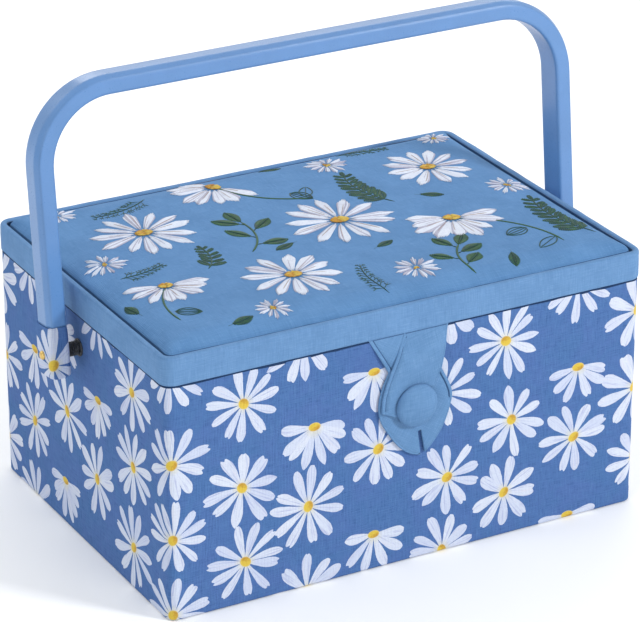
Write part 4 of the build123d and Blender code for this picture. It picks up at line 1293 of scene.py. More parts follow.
def thread_mat(name, dark, mid, light, sheen=0.05):
    m, nt, p = shader(name, rough=0.55, spec=0.3, sheen=sheen)
    mm = cloth_coords(nt)
    twist = node(nt, "ShaderNodeTexWave", {"wave_type": "BANDS", "bands_direction": "DIAGONAL", "wave_profile": "SIN"},
                 Vector=scaled(nt, mm, 1.0, 1.6), Scale=.9, Distortion=.6, Detail=1.0)
    geo = nt.nodes.new("ShaderNodeNewGeometry")
    co = nt.nodes.new("ShaderNodeTexCoord")
    per = noise_of(nt, scaled(nt, co.outputs["Object"], 1100.0, 1100.0, 300.0), 1.0, 1.0, .5)
    c = mix(nt, spread(nt, per, .35, .65), mid, light)
    # Painted shade: the grooves between the thread's plies are darkened.
    c = mix(nt, spread(nt, twist.outputs["Fac"], .45, .0, 0.0, .7), c, dark)
    big = noise_of(nt, scaled(nt, co.outputs["Object"], 130.0, 130.0, 130.0), 1.0, 2.0, .5)
    c = mix(nt, maths(nt, "MULTIPLY", spread(nt, big, .5, .7), .4), c, dark)
    nt.links.new(c, p.inputs["Base Color"])
    nt.links.new(spread(nt, per, .3, .7, .42, .62), p.inputs["Roughness"])
    b = node(nt, "ShaderNodeBump", Strength=.7, Distance=.12 * MM, Height=twist.outputs["Fac"])
    nt.links.new(b.outputs[0], p.inputs["Normal"])
    return m


M_T_WHITE = thread_mat("thread_white", (.50, .53, .65), (.71, .76, .87), (.79, .84, .92))
M_T_GREY = thread_mat("thread_lilac_grey", (.26, .26, .38), (.44, .44, .56), (.54, .54, .64))
M_T_TAN = thread_mat("thread_tan", (.20, .13, .11), (.32, .22, .18), (.42, .30, .25))
M_T_GREEN = thread_mat("thread_green", (.005, .032, .027), (.011, .060, .046), (.025, .100, .070))
M_T_OLIVE = thread_mat("thread_leaf_green", (.008, .046, .020), (.019, .086, .034), (.042, .140, .058))
M_T_ORANGE = thread_mat("thread_orange", (.31, .12, .014), (.49, .23, .026), (.61, .36, .05))
M_T_YELLOW = thread_mat("thread_yellow", (.43, .25, .026), (.63, .43, .06), (.70, .57, .14))

M_T_BLUE = thread_mat("thread_blue", (.10, .20, .38), (.17, .32, .56), (.24, .42, .66))

T = {k: Threads() for k in ("white", "grey", "tan", "green", "olive", "orange", "yellow")}
er = random.Random(404)


def petal_width(t):
    if t < .68:
        return .22 + .78 * (t / .68) ** .85
    return math.sqrt(max(0.0, 1 - ((t - .68) / .35) ** 2)) * .999 + .001


def satin_petal(cx, cy, a, r0, length, half, count):
    ca, sa = math.cos(a), math.sin(a)
    bend = er.uniform(-.08, .08) * length
    for k in range(count):
        q = (2 * k / (count - 1) - 1) if count > 1 else 0.0
        t0, t1 = .02 + .10 * abs(q) + er.uniform(0, .04), 1.0 - .16 * q * q - er.uniform(0, .05)
        pts, widths = [], []
        for i in range(8):
            t = t0 + (t1 - t0) * i / 7
            x = r0 + (length - r0) * t
            y = q * half * .9 * petal_width(t) + bend * t * t
            pts.append((cx + ca * x - sa * y, cy + sa * x + ca * y))
            widths.append(max(.34, 2.5 * half * petal_width(t) / count))
        u = er.random()
        kind = "grey" if u < .12 or abs(q) > .93 and u < .6 else "white"
        T[kind].strand(pts, widths, .42 + er.uniform(-.06, .06), lift=.02 + .16 * (1 - q * q), taper=.16)
    for _k in range(er.choice([1, 1, 2]) if count > 4 else 0):
        q = er.uniform(-.55, .55)
        t1 = er.uniform(.5, .85)
        pts = []
        for i in range(6):
            t = .12 + (t1 - .12) * i / 5
            x = r0 + (length - r0) * t
            y = q * half * petal_width(t) + bend * t * t
            pts.append((cx + ca * x - sa * y, cy + sa * x + ca * y))
        T["tan" if er.random() < .55 else "grey"].strand(pts, .38, .30, lift=.36, taper=.3)


def satin_centre(cx, cy, ra, rb, a):
    ca, sa = math.cos(a), math.sin(a)
    rows = max(5, int(2 * rb / .62))
    for k in range(rows):
        y = rb * (2 * (k + .5) / rows - 1)
        half = ra * math.sqrt(max(0.0, 1 - (y / rb) ** 2))
        split = er.uniform(-.3, .3) * half
        for x0, x1, c in ((-half, split, "orange"), (split, half, "yellow")):
            if x1 - x0 < .8:
                continue
            if er.random() < .25:
                c = "yellow" if c == "orange" else "orange"
            pts = [(cx + ca * (x0 + (x1 - x0) * i / 3) - sa * y, cy + sa * (x0 + (x1 - x0) * i / 3) + ca * y) for i in range(4)]
            T[c].strand(pts, .85, .45, lift=.45, taper=.3)


def big_daisy(cx, cy, radius, n=12, face=None, fan=None):
    turn = er.uniform(0, 2 * math.pi)
    rc = radius * .17
    angles = []
    if fan is None:
        angles = [turn + 2 * math.pi * (i + er.uniform(-.12, .12)) / n for i in range(n)]
    else:
        angles = [face + fan * (2 * (i + .5) / n - 1) + er.uniform(-.07, .07) for i in range(n)]
    for a in angles:
        satin_petal(cx, cy, a, rc * .7, radius * er.uniform(.9, 1.06), radius * er.uniform(.100, .135) * (12 / max(n, 10)), 8)
    satin_centre(cx, cy, rc * 1.05, rc * .72, 0.0 if fan is None else face + math.pi / 2)


def star_daisy(cx, cy, radius, n=13):
    turn = er.uniform(0, 1)
    for i in range(n):
        a = turn + 2 * math.pi * (i + er.uniform(-.15, .15)) / n
        satin_petal(cx, cy, a, radius * .16, radius * er.uniform(.85, 1.08), radius * .085, 3)
    for i in range(7):
        b, r = er.uniform(0, 2 * math.pi), radius * .15 * math.sqrt(er.random())
        T["orange" if i % 2 else "yellow"].knot(cx + r * math.cos(b), cy + r * math.sin(b), .75)


def bow(p0, p1, sag, n=14):
    a, b = Vector(p0), Vector(p1)
    d = b - a
    s = Vector((-d.y, d.x)).normalized() * sag
    return [tuple(a + d * (i / (n - 1)) + s * (4 * (i / (n - 1)) * (1 - i / (n - 1)))) for i in range(n)]


def along(line, t):
    x = t * (len(line) - 1)
    i = min(int(x), len(line) - 2)
    a, b = Vector(line[i]), Vector(line[i + 1])
    p = a + (b - a) * (x - i)
    return p, (b - a).normalized()


def filled_leaf(base, ang, length, half, colour="olive", other="green", vein=True):
    """Slanted satin stitches each side of a middle vein."""
    ca, sa = math.cos(ang), math.sin(ang)
    rows = max(5, int(length / .95))
    for side in (-1, 1):
        for k in range(rows):
            t = (k + .5) / rows
            w = half * math.sin(math.pi * min(1.0, t ** .85)) ** .75
            x0, x1 = length * t - .25 * w, length * t + .55 * w * (1 - .5 * t)
            pts = []
            for i in range(4):
                q = i / 3
                x, y = x0 + (x1 - x0) * q, side * w * q
                pts.append((base[0] + ca * x - sa * y, base[1] + sa * x + ca * y))
            if w > .5:
                T[colour if er.random() < .8 else other].strand(pts, 1.0, .34, lift=.02, taper=.3)
    if vein:
        pts = [(base[0] + ca * length * t, base[1] + sa * length * t) for t in np.linspace(-.04, .95, 7)]
        T["green"].strand(pts, .6, .36, lift=.22, taper=.2)


def open_leaf(base, ang, length, half, veins=3):
    """A leaf drawn as an outline with a few lengthwise lines."""
    ca, sa = math.cos(ang), math.sin(ang)
    for q in [-1.0, 1.0] + [(-1 + 2 * (i + 1) / (veins + 1)) for i in range(veins)]:
        pts = []
        for i in range(9):
            t = i / 8
            x, y = length * t, q * half * math.sin(math.pi * t ** .9) ** .8
            pts.append((base[0] + ca * x - sa * y, base[1] + sa * x + ca * y))
        T["green"].strand(pts, .62 if abs(q) == 1 else .42, .34, taper=.12)


def stem(line, w=.8, colour="green"):
    T[colour].strand(line, w, .42, taper=.08)


def fern(p0, p1, sag, pairs, leaf, slim=.2, colour="green"):
    line = bow(p0, p1, sag, 16)
    stem(line, .8)
    for i in range(pairs):
        t = .14 + .82 * i / (pairs - 1)
        p, d = along(line, t)
        ang = math.atan2(d.y, d.x)
        size = leaf * (1.0 - .45 * t) * er.uniform(.9, 1.08)
        for side in (-1, 1):
            filled_leaf((p.x, p.y), ang + side * rad(er.uniform(46, 58)), size, size * slim, colour, "olive" if colour == "green" else "green", vein=False)
    p, d = along(line, .99)
    filled_leaf((p.x, p.y), math.atan2(d.y, d.x), leaf * .55, leaf * .55 * slim, colour, vein=False)


def branch(p0, p1, sag, leaves, size):
    line = bow(p0, p1, sag, 14)
    stem(line, 1.1, "olive")
    for i in range(leaves):
        t = .22 + .66 * i / max(1, leaves - 1)
        p, d = along(line, t)
        side = 1 if i % 2 else -1
        ang = math.atan2(d.y, d.x) + side * rad(er.uniform(40, 60))
        q = Vector((p.x + math.cos(ang) * 3.4, p.y + math.sin(ang) * 3.4))
        stem([tuple(p), tuple((p + q) / 2), tuple(q)], .7, "green")
        filled_leaf((q.x, q.y), ang, size * er.uniform(.88, 1.08), size * er.uniform(.26, .32))
    p, d = along(line, 1.0)
    filled_leaf((p.x, p.y), math.atan2(d.y, d.x), size, size * .28)


def herb(p0, p1, sag, n, reach):
    line = bow(p0, p1, sag, 14)
    stem(line, .6)
    for i in range(n):
        t = .1 + .9 * i / n
        p, d = along(line, t)
        ang = math.atan2(d.y, d.x)
        k = reach * (1 - .55 * t)
        for side in (-1, 1):
            a = ang + side * rad(er.uniform(38, 62))
            q = (p.x + math.cos(a) * k, p.y + math.sin(a) * k)
            T["green"].strand([tuple(p), ((p.x + q[0]) / 2, (p.y + q[1]) / 2), q], .5, .3, taper=.2)
            for s2 in (-1, 1):
                b = a + s2 * rad(42)
                m = (p.x + math.cos(a) * k * .55, p.y + math.sin(a) * k * .55)
                T["green" if er.random() < .7 else "olive"].strand(
                    [m, (m[0] + math.cos(b) * k * .22, m[1] + math.sin(b) * k * .22), (m[0] + math.cos(b) * k * .42, m[1] + math.sin(b) * k * .42)],
                    .5, .28, taper=.2)


# The design: four open daisies, three seen from the side, small starry ones, and leaf sprays between them.
big_daisy(-78, 34, 27, 13)
big_daisy(14, 2, 28.5, 13)
big_daisy(88, 42, 25.5, 12)
big_daisy(-38, -46, 26, 12)
stem(bow((-20, 70), (16, 34), -7), 1.15, "olive")
big_daisy(-21, 71, 25, 8, face=rad(215), fan=rad(106))
open_leaf((9, 45), rad(-60), 14, 4.2)
open_leaf((14, 37), rad(62), 13, 3.4, 1)
stem(bow((66, -24), (98, -72), 8), 1.15, "olive")
big_daisy(64, -22, 26, 9, face=rad(250), fan=rad(112))
open_leaf((90, -50), rad(196), 14, 4.4)
open_leaf((97, -66), rad(-150), 16, 3.4, 1)
stem(bow((-98, -30), (-108, -66), -4), 1.0, "olive")
big_daisy(-97, -28, 21, 8, face=rad(262), fan=rad(108))
open_leaf((-106, -56), rad(-30), 13, 4.0)
for x, y, r in ((-111, 9, 11.5), (44, 70, 12.5), (111, 2, 12), (-106, 75, 11.0), (18, -66, 12.5), (111, 76, 9), (-64, -74, 9.5)):
    star_daisy(x, y, r, 13 if r > 12 else 12)
fern((-70, -20), (-62, 3), -3, 6, 10)
fern((50, 10), (44, 52), 5, 9, 13)
fern((118, -70), (112, -20), 5, 10, 13.5)
branch((-42, -12), (-30, 24), -5, 4, 14)
branch((42, -82), (50, -52), 4, 4, 13.5)
herb((-112, -10), (-86, -4), -2, 9, 7)
herb((-6, -82), (-4, -50), 3, 10, 7)
herb((-58, 74), (-92, 64), 4, 11, 8.5)
herb((56, 82), (84, 76), -2, 9, 7)
for x, y, a, s in ((-122, 44, 70, 13), (-20, -12, 200, 12), (68, -72, 250, 12), (-120, -46, 100, 11), (66, 12, -30, 12), (14, -36, 20, 11), (10, 80, -10, 12), (-88, -80, 12, 12)):
    filled_leaf((x, y), rad(a), s, s * .24, "green", "olive")
    stem([(x, y), (x - math.cos(rad(a)) * 3, y - math.sin(rad(a)) * 3)], .6)
for key, m in (("white", M_T_WHITE), ("grey", M_T_GREY), ("tan", M_T_TAN), ("green", M_T_GREEN), ("olive", M_T_OLIVE), ("orange", M_T_ORANGE), ("yellow", M_T_YELLOW)):
    T[key].build("embroidery_" + key, m)

# ================================================================ inside: linings, pads, pin cushion, pocket and hinge
def grid_cloth(name, xs, ys, height, mats, uv=None, flip=False, where=None):
    """A sheet over a grid; height(x, y) gives z, where(x, y) may move the point sideways."""
    verts, flat = [], []
    for y in ys:
        for x in xs:
            fx, fy = where(x, y) if where else (x, y)
            verts.append((fx, fy, height(fx, fy)))
            flat.append((x, y))
    nx, ny = len(xs), len(ys)
    faces = []
    for j in range(ny - 1):
        for i in range(nx - 1):
            f = (j * nx + i, j * nx + i + 1, (j + 1) * nx + i + 1, (j + 1) * nx + i)
            faces.append(f[::-1] if flip else f)
    o = make(name, verts, faces, mats)
    set_uv(o, "cloth", np.asarray(flat))
    return o


class Stitches:
    """Short raised threads laid end to end along lines."""

    def __init__(self):
        self.v, self.f = [], []

    def run(self, points, normals, length=2.3, gap=.75, width=.42, height=.24):
        pts = [Vector(p) for p in points]
        seg = [0.0]
        for a, b in zip(pts, pts[1:]):
            seg.append(seg[-1] + (b - a).length)

        def at(s):
            i = min(max(int(np.searchsorted(seg, s, side="right")) - 1, 0), len(pts) - 2)
            t = (s - seg[i]) / max(1e-9, seg[i + 1] - seg[i])
            return pts[i].lerp(pts[i + 1], t), Vector(normals[i]).lerp(Vector(normals[i + 1]), t).normalized()

        s = gap / 2
        while s + length < seg[-1]:
            base = len(self.v)
            for k in range(5):
                q = k / 4
                p, n = at(s + length * q)
                p1, _n = at(min(seg[-1], s + length * q + .1))
                p0, _n = at(max(0.0, s + length * q - .1))
                side = (p1 - p0).cross(n).normalized()
                e = math.sqrt(max(0.02, 1 - (2 * q - 1) ** 4))
                for cs, ch in ((-1, -.1), (-.7, .7), (0, 1), (.7, .7), (1, -.1)):
                    self.v.append(tuple(p + side * (cs * width / 2 * e) + n * (ch * height * e)))
            for k in range(4):
                for m in range(5):
                    w = (m + 1) % 5
                    self.f.append((base + k * 5 + m, base + k * 5 + w, base + (k + 1) * 5 + w, base + (k + 1) * 5 + m))
            self.f.append(tuple(base + m for m in range(4, -1, -1)))
            self.f.append(tuple(base + 20 + m for m in range(5)))
            s += length + gap

    def build(self, name, body, material, slot="plain_blue"):
        o = make(name, self.v, self.f, [material])
        set_uv(o, "cloth", np.asarray(self.v)[:, :2])
        fix_normals(o)
        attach(o, body)
        return o


# wall lining: one band round the inside, a little slack between the corners
line_path = Rounded(125.2, 88.2, 1.3)
LINE_PROFILE = [(-.35, 121.55), (-.02, 121.85), (.3, 121.75), (.42, 121.3), (.3, 120.5), (.1, 119.4)]
LINE_PROFILE += [(.08, z) for z in (116, 112, 106, 100, 92, 84, 76, 68, 60, 52, 44, 36, 28, 20, 13, 8.5)] + [(.15, 6.6), (.5, 5.75), (1.0, 5.45)]


def line_wobble(u, v, px, py, d, z):
    n = noise.noise(Vector((u * .018, z * .012, 8.0))) * .16 + noise.noise(Vector((u * .05, z * .03, 2.0))) * .07
    near = 1.0 if abs(px) < 120 or abs(z - PIVOT_Z) > 16 or abs(py) > 16 else 0.0
    return -max(-.02, n * near), (noise.noise(Vector((u * .06, 1.0, 0.0))) * .12 if z > 119 else 0.0)


wall_cloth = ring_sweep("wall_lining_cloth", line_path, LINE_PROFILE, line_path.stations(6.0, 4), [M_LINING], line_wobble)
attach(wall_cloth, "box")
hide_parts("wall_lining")


def flat_steps(half, step, edge=(.5, 1.2, 2.5)):
    return edge_steps(half, list(edge), step)


def pad_floor(x, y):
    d = max(0.0, edge_distance(x, y, 125.4, 88.4, 1.5))
    return 4.6 + .95 * (1 - math.exp(-d / .9)) + noise.noise(Vector((x * .02, y * .02, 1.0))) * .15


floor_cloth = grid_cloth("base_lining_cloth", flat_steps(125.4, 7), flat_steps(88.4, 7), pad_floor, [M_LINING],
                         where=lambda x, y: corner_fit(x, y, 125.4, 88.4, 1.5))
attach(floor_cloth, "box")
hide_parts("base_lining")

# printed cloth on the underside
BX, BY = 128.3, 91.3


def place_base(u, v):
    x, y = corner_fit(u - BX, -(v - BY), BX, BY, 4.0)
    d = max(0.0, edge_distance(x, y, BX, BY, 4.0))
    z = .42 - .34 * (1 - math.exp(-d / 1.2)) + .05 * noise.noise(Vector((x * .03, y * .03, 6.0)))
    return (x, y, z), (0.0, 0.0, -1.0)


base_flowers = scatter(random.Random(23), 2 * BX, 0.0, 2 * BY, 7, 42.3, 20.4, 2.6, wrap=False)
under_lines = [float(v) for v in (.5, 1.2, 2.5, 5, *np.arange(30, 2 * BX - 10, 30), 2 * BX - 5, 2 * BX - 2.5, 2 * BX - 1.2, 2 * BX - .5)]
under_rows = [float(v) for v in (.5, 1.2, 2.5, 5, *np.arange(30, 2 * BY - 10, 30), 2 * BY - 5, 2 * BY - 2.5, 2 * BY - 1.2, 2 * BY - .5)]
base_cloth, _f = printed("daisy_base_cloth", 2 * BX, 0.0, 2 * BY, under_lines, under_rows, base_flowers, place_base)
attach(base_cloth, "box")
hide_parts("base_cover")

# lid lining, facing down
LLX, LLY = 127.42, 90.42


def lid_line_height(x, y):
    d = max(0.0, edge_distance(x, y, LLX, LLY, 3.5))
    pucker = math.exp(-d / 6.0) * noise.noise(Vector((x * .16, y * .16, 3.0))) * .22
    return 130.35 - .45 * (1 - math.exp(-d / 1.1)) - max(0.0, pucker) + .05 * noise.noise(Vector((x * .02, y * .02, 0.5)))


lid_cloth = grid_cloth("lid_lining_cloth", flat_steps(LLX, 6), flat_steps(LLY, 6), lid_line_height, [M_LINING], flip=True,
                       where=lambda x, y: corner_fit(x, y, LLX, LLY, 3.5))
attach(lid_cloth, "lid")
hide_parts("lid_lining")

# pin cushion: two cloths sewn round the edge over a filling, tied down at five points
CX, CHX, CHY, CR = -64.0, 43.4, 32.4, 8.0


def build_cushion():
    xs, ys = edge_steps(CHX, [1.0, 1.6, 2.4], 3.6), edge_steps(CHY, [1.0, 1.6, 2.4], 3.6)
    nx, ny = len(xs), len(ys)
    verts, flat, held = [], [], []
    ties = [(sx * CHX * .34, sy * CHY * .40) for sx in (-1, 1) for sy in (-1, 1)] + [(0.0, 0.0)]
    for side in (0, 1):
        for j, y in enumerate(ys):
            for i, x in enumerate(xs):
                if side and (i in (0, nx - 1) or j in (0, ny - 1)):
                    continue
                fx, fy = corner_fit(x, y, CHX, CHY, CR)
                # the sides pull in between the corners
                fx *= 1 - .018 * (1 - (fy / CHY) ** 2)
                fy *= 1 - .020 * (1 - (fx / CHX) ** 2)
                d = max(0.0, edge_distance(fx, fy, CHX, CHY, CR))
                if side:
                    z = 129.6 - .5 * math.exp(-d / 2.0)
                else:
                    z = 128.0 - 6.4 * (1 - math.exp(-(d / 5.5) ** 1.1))
                    for tx, ty in ties:
                        z += 3.4 * math.exp(-((fx - tx) ** 2 + (fy - ty) ** 2) / 20.0)
                verts.append((CX + fx, fy, z))
                flat.append((x, y))
                held.append(side == 1 or any((fx - tx) ** 2 + (fy - ty) ** 2 < 8 for tx, ty in ties))
    n1 = nx * ny
    index = {}
    k = n1
    for j in range(ny):
        for i in range(nx):
            if i in (0, nx - 1) or j in (0, ny - 1):
                index[(i, j)] = j * nx + i
            else:
                index[(i, j)] = k
                k += 1
    faces = []
    for j in range(ny - 1):
        for i in range(nx - 1):
            faces.append((j * nx + i, (j + 1) * nx + i, (j + 1) * nx + i + 1, j * nx + i + 1))
            faces.append((index[(i, j)], index[(i + 1, j)], index[(i + 1, j + 1)], index[(i, j + 1)]))
    o = make("pin_cushion_cloth", verts, faces, [M_RIM])
    return o, np.array(verts), np.array(flat), held, ties


cushion, cushion_rest, cushion_flat, cushion_held, cushion_ties = build_cushion()
inflate(cushion, cushion_rest, cushion_held, 16, 2.4, 1.6)
set_uv(cushion, "cloth", cushion_flat)
soft = cushion.modifiers.new("Soft", "SUBSURF")
soft.levels = soft.render_levels = 1
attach(cushion, "lid")
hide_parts("pin_cushion")
_dg = bpy.context.evaluated_depsgraph_get()
_dg.update()
cushion_tree = BVHTree.FromObject(cushion, _dg)

# piping round the cushion's seam and a small button at each tie
pipe_v, pipe_f, pipe_uv = [], [], []
pipe_path = Rounded(CHX + .1, CHY + .1, CR)
pipe_us = pipe_path.stations(2.4, 8)
for i, u in enumerate(pipe_us):
    (px, py), (nx_, ny_) = pipe_path.at(u)
    px, py = px * (1 - .018 * (1 - (py / CHY) ** 2)), py * (1 - .020 * (1 - (px / CHX) ** 2))
    for k in range(8):
        a = 2 * math.pi * k / 8
        r = 1.05 * (1 + .05 * math.sin(u * 1.9 + k))
        pipe_v.append((CX + px + nx_ * r * math.cos(a), py + ny_ * r * math.cos(a), 128.1 + r * math.sin(a)))
        pipe_uv.append((u, k * .8))
for i in range(len(pipe_us)):
    j = (i + 1) % len(pipe_us)
    for k in range(8):
        m_ = (k + 1) % 8
        pipe_f.append((i * 8 + k, j * 8 + k, j * 8 + m_, i * 8 + m_))
piping = make("pin_cushion_piping", pipe_v, pipe_f, [M_STRAP])
set_uv(piping, "cloth", pipe_uv)
fix_normals(piping)
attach(piping, "lid")
knob_v, knob_f, knob_uv = [], [], []
for tx, ty in cushion_ties:
    hit = cushion_tree.ray_cast(Vector(((CX + tx) * MM, ty * MM, .05)), Vector((0, 0, 1)))
    z0 = (hit[0].z / MM if hit[0] else 124.5) - .1
    base = len(knob_v)
    for r, h in ((2.0, .5), (3.1, .35), (3.5, -.15), (3.3, -.7), (2.5, -1.15), (1.3, -1.4)):
        for k in range(20):
            a = 2 * math.pi * k / 20
            knob_v.append((CX + tx + r * math.cos(a), ty + r * math.sin(a), z0 + h))
            knob_uv.append((r * math.cos(a), r * math.sin(a)))
    for j in range(5):
        for k in range(20):
            m_ = (k + 1) % 20
            knob_f.append((base + j * 20 + k, base + j * 20 + m_, base + (j + 1) * 20 + m_, base + (j + 1) * 20 + k))
    knob_f.append(tuple(base + 100 + k for k in range(20)))
    knob_f.append(tuple(base + k for k in range(19, -1, -1)))
knobs = make("pin_cushion_buttons", knob_v, knob_f, [M_LINING])
set_uv(knobs, "cloth", knob_uv)
fix_normals(knobs)
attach(knobs, "lid")

# lid pocket: gathered on its elastic at the mouth, flat at its sewn edges
PX0, PX1, PY0, PY1 = 4.2, 117.8, -61.8, 65.8


def pocket_height(x, y):
    dx = min(x - PX0, PX1 - x)
    bx = 1 - math.exp(-(max(0.0, dx) / 3.6) ** 1.2)
    by = 1 - math.exp(-(max(0.0, PY1 - y) / 8.0) ** 1.2)
    near = math.exp(-(y - PY0) / 26.0)
    gather = (math.sin(x * 1.02 + 1.3 * math.sin(x * .21)) + .5 * math.sin(x * 1.71 + 2)) * .42 * near
    gather += noise.noise(Vector((x * .09, y * .022, 4.0))) * .8
    return 129.75 - bx * by * (4.9 + gather * .9)


px_steps = [PX0 + (PX1 - PX0) * i / 150 for i in range(151)]
py_steps = [PY0 + (PY1 - PY0) * (i / 46) ** 1.25 for i in range(47)]
pocket = grid_cloth("lid_pocket_cloth", px_steps, py_steps, pocket_height, [M_LINING], flip=True)
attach(pocket, "lid")
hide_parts("lid_pocket")

el_v, el_f, el_uv = [], [], []
ex = [PX0 - .3 + (PX1 - PX0 + .6) * i / 170 for i in range(171)]
section = [(-61.9, -.25), (-62.2, -.6), (-61.9, -.95)] + [(-61.9 + 6.8 * k / 14, -.95 - (.16 if k % 2 else 0.0)) for k in range(1, 14)] + [(-55.1, -.95), (-54.8, -.6), (-55.1, -.25)]
for x in ex:
    for y, h in section:
        zc = pocket_height(min(max(x, PX0), PX1), y if y > PY0 else PY0)
        el_v.append((x, y, zc + h))
        el_uv.append((x, y))
ns = len(section)
for i in range(len(ex) - 1):
    for k in range(ns):
        m_ = (k + 1) % ns
        el_f.append((i * ns + k, (i + 1) * ns + k, (i + 1) * ns + m_, i * ns + m_))
el_f.append(tuple(range(ns)))
el_f.append(tuple((len(ex) - 1) * ns + k for k in range(ns - 1, -1, -1)))
M_ELASTIC = plain_cloth("elastic_ribbed", (.46, .50, .58), (.66, .70, .78), (.76, .79, .85), pitch=.45)
elastic = make("pocket_elastic_band", el_v, el_f, [M_ELASTIC])
set_uv(elastic, "cloth", el_uv)
fix_normals(elastic)
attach(elastic, "lid")
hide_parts("pocket_elastic")

# binding along the pocket's three sewn edges, with its stitches
def binding(name, line, body, material, width=5.0, lift=.9, z0=129.9, down=True):
    verts, faces, uv = [], [], []
    prof = [(-.5, 0.0), (-.5, .55), (-.42, .85), (-.25, 1.0), (0, 1.02), (.25, 1.0), (.42, .85), (.5, .55), (.5, 0.0)]
    run = 0.0
    for i, p in enumerate(line):
        a, b = Vector(line[max(0, i - 1)]), Vector(line[min(len(line) - 1, i + 1)])
        t = (b - a).normalized()
        s = Vector((-t.y, t.x))
        if 0 < i < len(line) - 1:
            t0 = (Vector(line[i]) - Vector(line[i - 1])).normalized()
            k = 1 / max(.5, abs(s.dot(Vector((-t0.y, t0.x)))))
        else:
            k = 1.0
        if i:
            run += (Vector(line[i]) - Vector(line[i - 1])).length
        for w, h in prof:
            verts.append((p[0] + s.x * w * width * k, p[1] + s.y * w * width * k, z0 - h * lift * (1 + .1 * noise.noise(Vector((run * .2, w, 0))))))
            uv.append((run, w * width))
    n = len(prof)
    for i in range(len(line) - 1):
        for k in range(n - 1):
            faces.append((i * n + k, i * n + k + 1, (i + 1) * n + k + 1, (i + 1) * n + k))
    faces.append(tuple(range(n)))
    faces.append(tuple((len(line) - 1) * n + k for k in range(n - 1, -1, -1)))
    o = make(name, verts, faces, [material])
    set_uv(o, "cloth", uv)
    fix_normals(o)
    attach(o, body)
    return o


edge_line = [(PX0 - .4, PY0 - .5)] + [(PX0 - .4, y) for y in np.arange(PY0 + 4, PY1 - 2, 5.0)] + [(PX0 - .4, PY1 + .4)]
edge_line += [(x, PY1 + .4) for x in np.arange(PX0 + 4, PX1 - 2, 5.0)] + [(PX1 + .4, PY1 + .4)]
edge_line += [(PX1 + .4, y) for y in np.arange(PY1 - 4, PY0 + 2, -5.0)] + [(PX1 + .4, PY0 - .5)]
edge_line = [tuple(float(v) for v in p) for p in edge_line]
bind = binding("pocket_binding", edge_line, "lid", M_STRAP, width=5.0, lift=1.15, z0=129.95)
pst = Stitches()
pst.run([(x, y, 128.78) for x, y in edge_line], [(0, 0, -1)] * len(edge_line))
pst.build("pocket_stitches", "lid", M_T_BLUE)

# fabric hinge over the back of the box and the lid
HINGE = [(93.02, 110.6), (93.04, 110.15), (93.3, 109.95), (93.62, 110.25), (93.68, 111.0), (93.6, 112.6), (93.58, 115.0), (93.58, 118.0)]
HINGE += [(93.6, 119.6), (93.68, 120.7), (93.85, 121.6), (94.08, 122.4), (94.3, 123.1), (94.42, 123.9), (94.46, 125.0), (94.46, 127.5), (94.46, 130.0)]
HINGE += [(94.5, 131.4), (94.58, 132.2), (94.5, 132.85), (94.25, 133.05), (94.0, 132.9), (93.95, 132.4)]
hv, hf, huv = [], [], []
hxs = [-122.0, -121.8, -121.2] + [float(v) for v in np.linspace(-120, 120, 81)] + [121.2, 121.8, 122.0]
harc = [0.0]
for a, b in zip(HINGE, HINGE[1:]):
    harc.append(harc[-1] + math.hypot(b[0] - a[0], b[1] - a[1]))
for j, (y, z) in enumerate(HINGE):
    for x in hxs:
        end = max(0.0, abs(x) - 121.0)
        soft_ = noise.noise(Vector((x * .05, z * .08, 12.0))) * .09 + noise.noise(Vector((x * .16, z * .2, 1.0))) * .04
        yy = y - end * .25 + (soft_ if y > 93.2 else 0.0)
        hv.append((x, max(93.02, yy), z))
        huv.append((x, harc[j]))
for j in range(len(HINGE) - 1):
    for i in range(len(hxs) - 1):
        hf.append((j * len(hxs) + i, (j + 1) * len(hxs) + i, (j + 1) * len(hxs) + i + 1, j * len(hxs) + i + 1))
hinge = make("hinge_cloth", hv, hf, [M_RIM])
set_uv(hinge, "cloth", huv)
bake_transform(hinge)
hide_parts("hinge_tape")
for name_, body_, z_, y_ in (("hinge_stitches_box", "box", 112.6, 93.60), ("hinge_stitches_lid", "lid", 130.4, 94.47)):
    st = Stitches()
    st.run([(x, y_, z_) for x in hxs[2:-2]], [(0, 1, 0)] * len(hxs[2:-2]))
    st.build(name_, body_, M_T_BLUE)

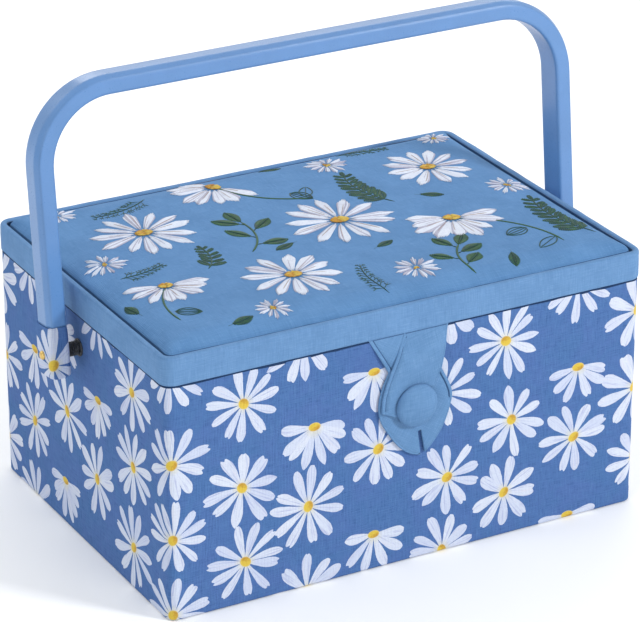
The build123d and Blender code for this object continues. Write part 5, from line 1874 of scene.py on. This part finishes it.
# ================================================================ camera, light, floor
cam_data = bpy.data.cameras.new("camera")
cam = bpy.data.objects.new("camera", cam_data)
bpy.context.scene.collection.objects.link(cam)
bpy.context.scene.camera = cam
cam_data.sensor_width = 36.0
cam_data.sensor_fit = "HORIZONTAL"
cam_data.lens = 192.105
cam_data.clip_start, cam_data.clip_end = 0.05, 20.0
az, el = rad(-28.829), rad(24.288)
back = Vector((math.sin(az) * math.cos(el), -math.cos(az) * math.cos(el), math.sin(el)))
right = Vector((math.cos(az), math.sin(az), 0.0))
upv = back.cross(right)
centre = back * 1.7376 + right * 0.00156 + upv * 0.08759
cam.matrix_world = Matrix((
    (right.x, upv.x, back.x, centre.x),
    (right.y, upv.y, back.y, centre.y),
    (right.z, upv.z, back.z, centre.z),
    (0, 0, 0, 1),
))

floor = make("floor", [(-4000, -4000, -.05), (4000, -4000, -.05), (4000, 4000, -.05), (-4000, 4000, -.05)], [(0, 1, 2, 3)], [])
m, nt, p = shader("floor_paint", rough=0.7, spec=0.1)
p.inputs["Base Color"].default_value = (0.98, 0.982, 0.985, 1)
floor.data.materials.append(m)

world = bpy.data.worlds.new("world")
bpy.context.scene.world = world
world.use_nodes = True
bg = world.node_tree.nodes["Background"]
bg.inputs[0].default_value = (1.0, 1.0, 1.0, 1.0)
bg.inputs[1].default_value = 0.73


def area_light(name, at, aim, size, power, colour=(1, 1, 1)):
    d = bpy.data.lights.new(name, "AREA")
    d.shape = "RECTANGLE"
    d.size, d.size_y = size
    d.energy = power
    d.color = colour
    o = bpy.data.objects.new(name, d)
    bpy.context.scene.collection.objects.link(o)
    o.location = at
    o.rotation_mode = "QUATERNION"
    o.rotation_quaternion = (Vector(aim) - Vector(at)).to_track_quat("-Z", "Y")
    return o


area_light("key", (1.15, -1.60, 1.15), (0, 0, .08), (0.36, 0.36), 27.5)
area_light("overhead", (-0.75, 1.05, 1.25), (0, 0, .12), (1.2, 0.9), 7)
area_light("back_sheen", (0.70, 1.30, 0.92), (0, 0, .16), (1.3, 0.6), 6)
area_light("left_fill", (-1.45, -0.90, 0.80), (0, 0, .1), (0.45, 0.45), 4.6, (.82, .94, 1.0))
bpy.context.scene.view_settings.view_transform = "Standard"
bpy.context.scene.view_settings.look = "None"
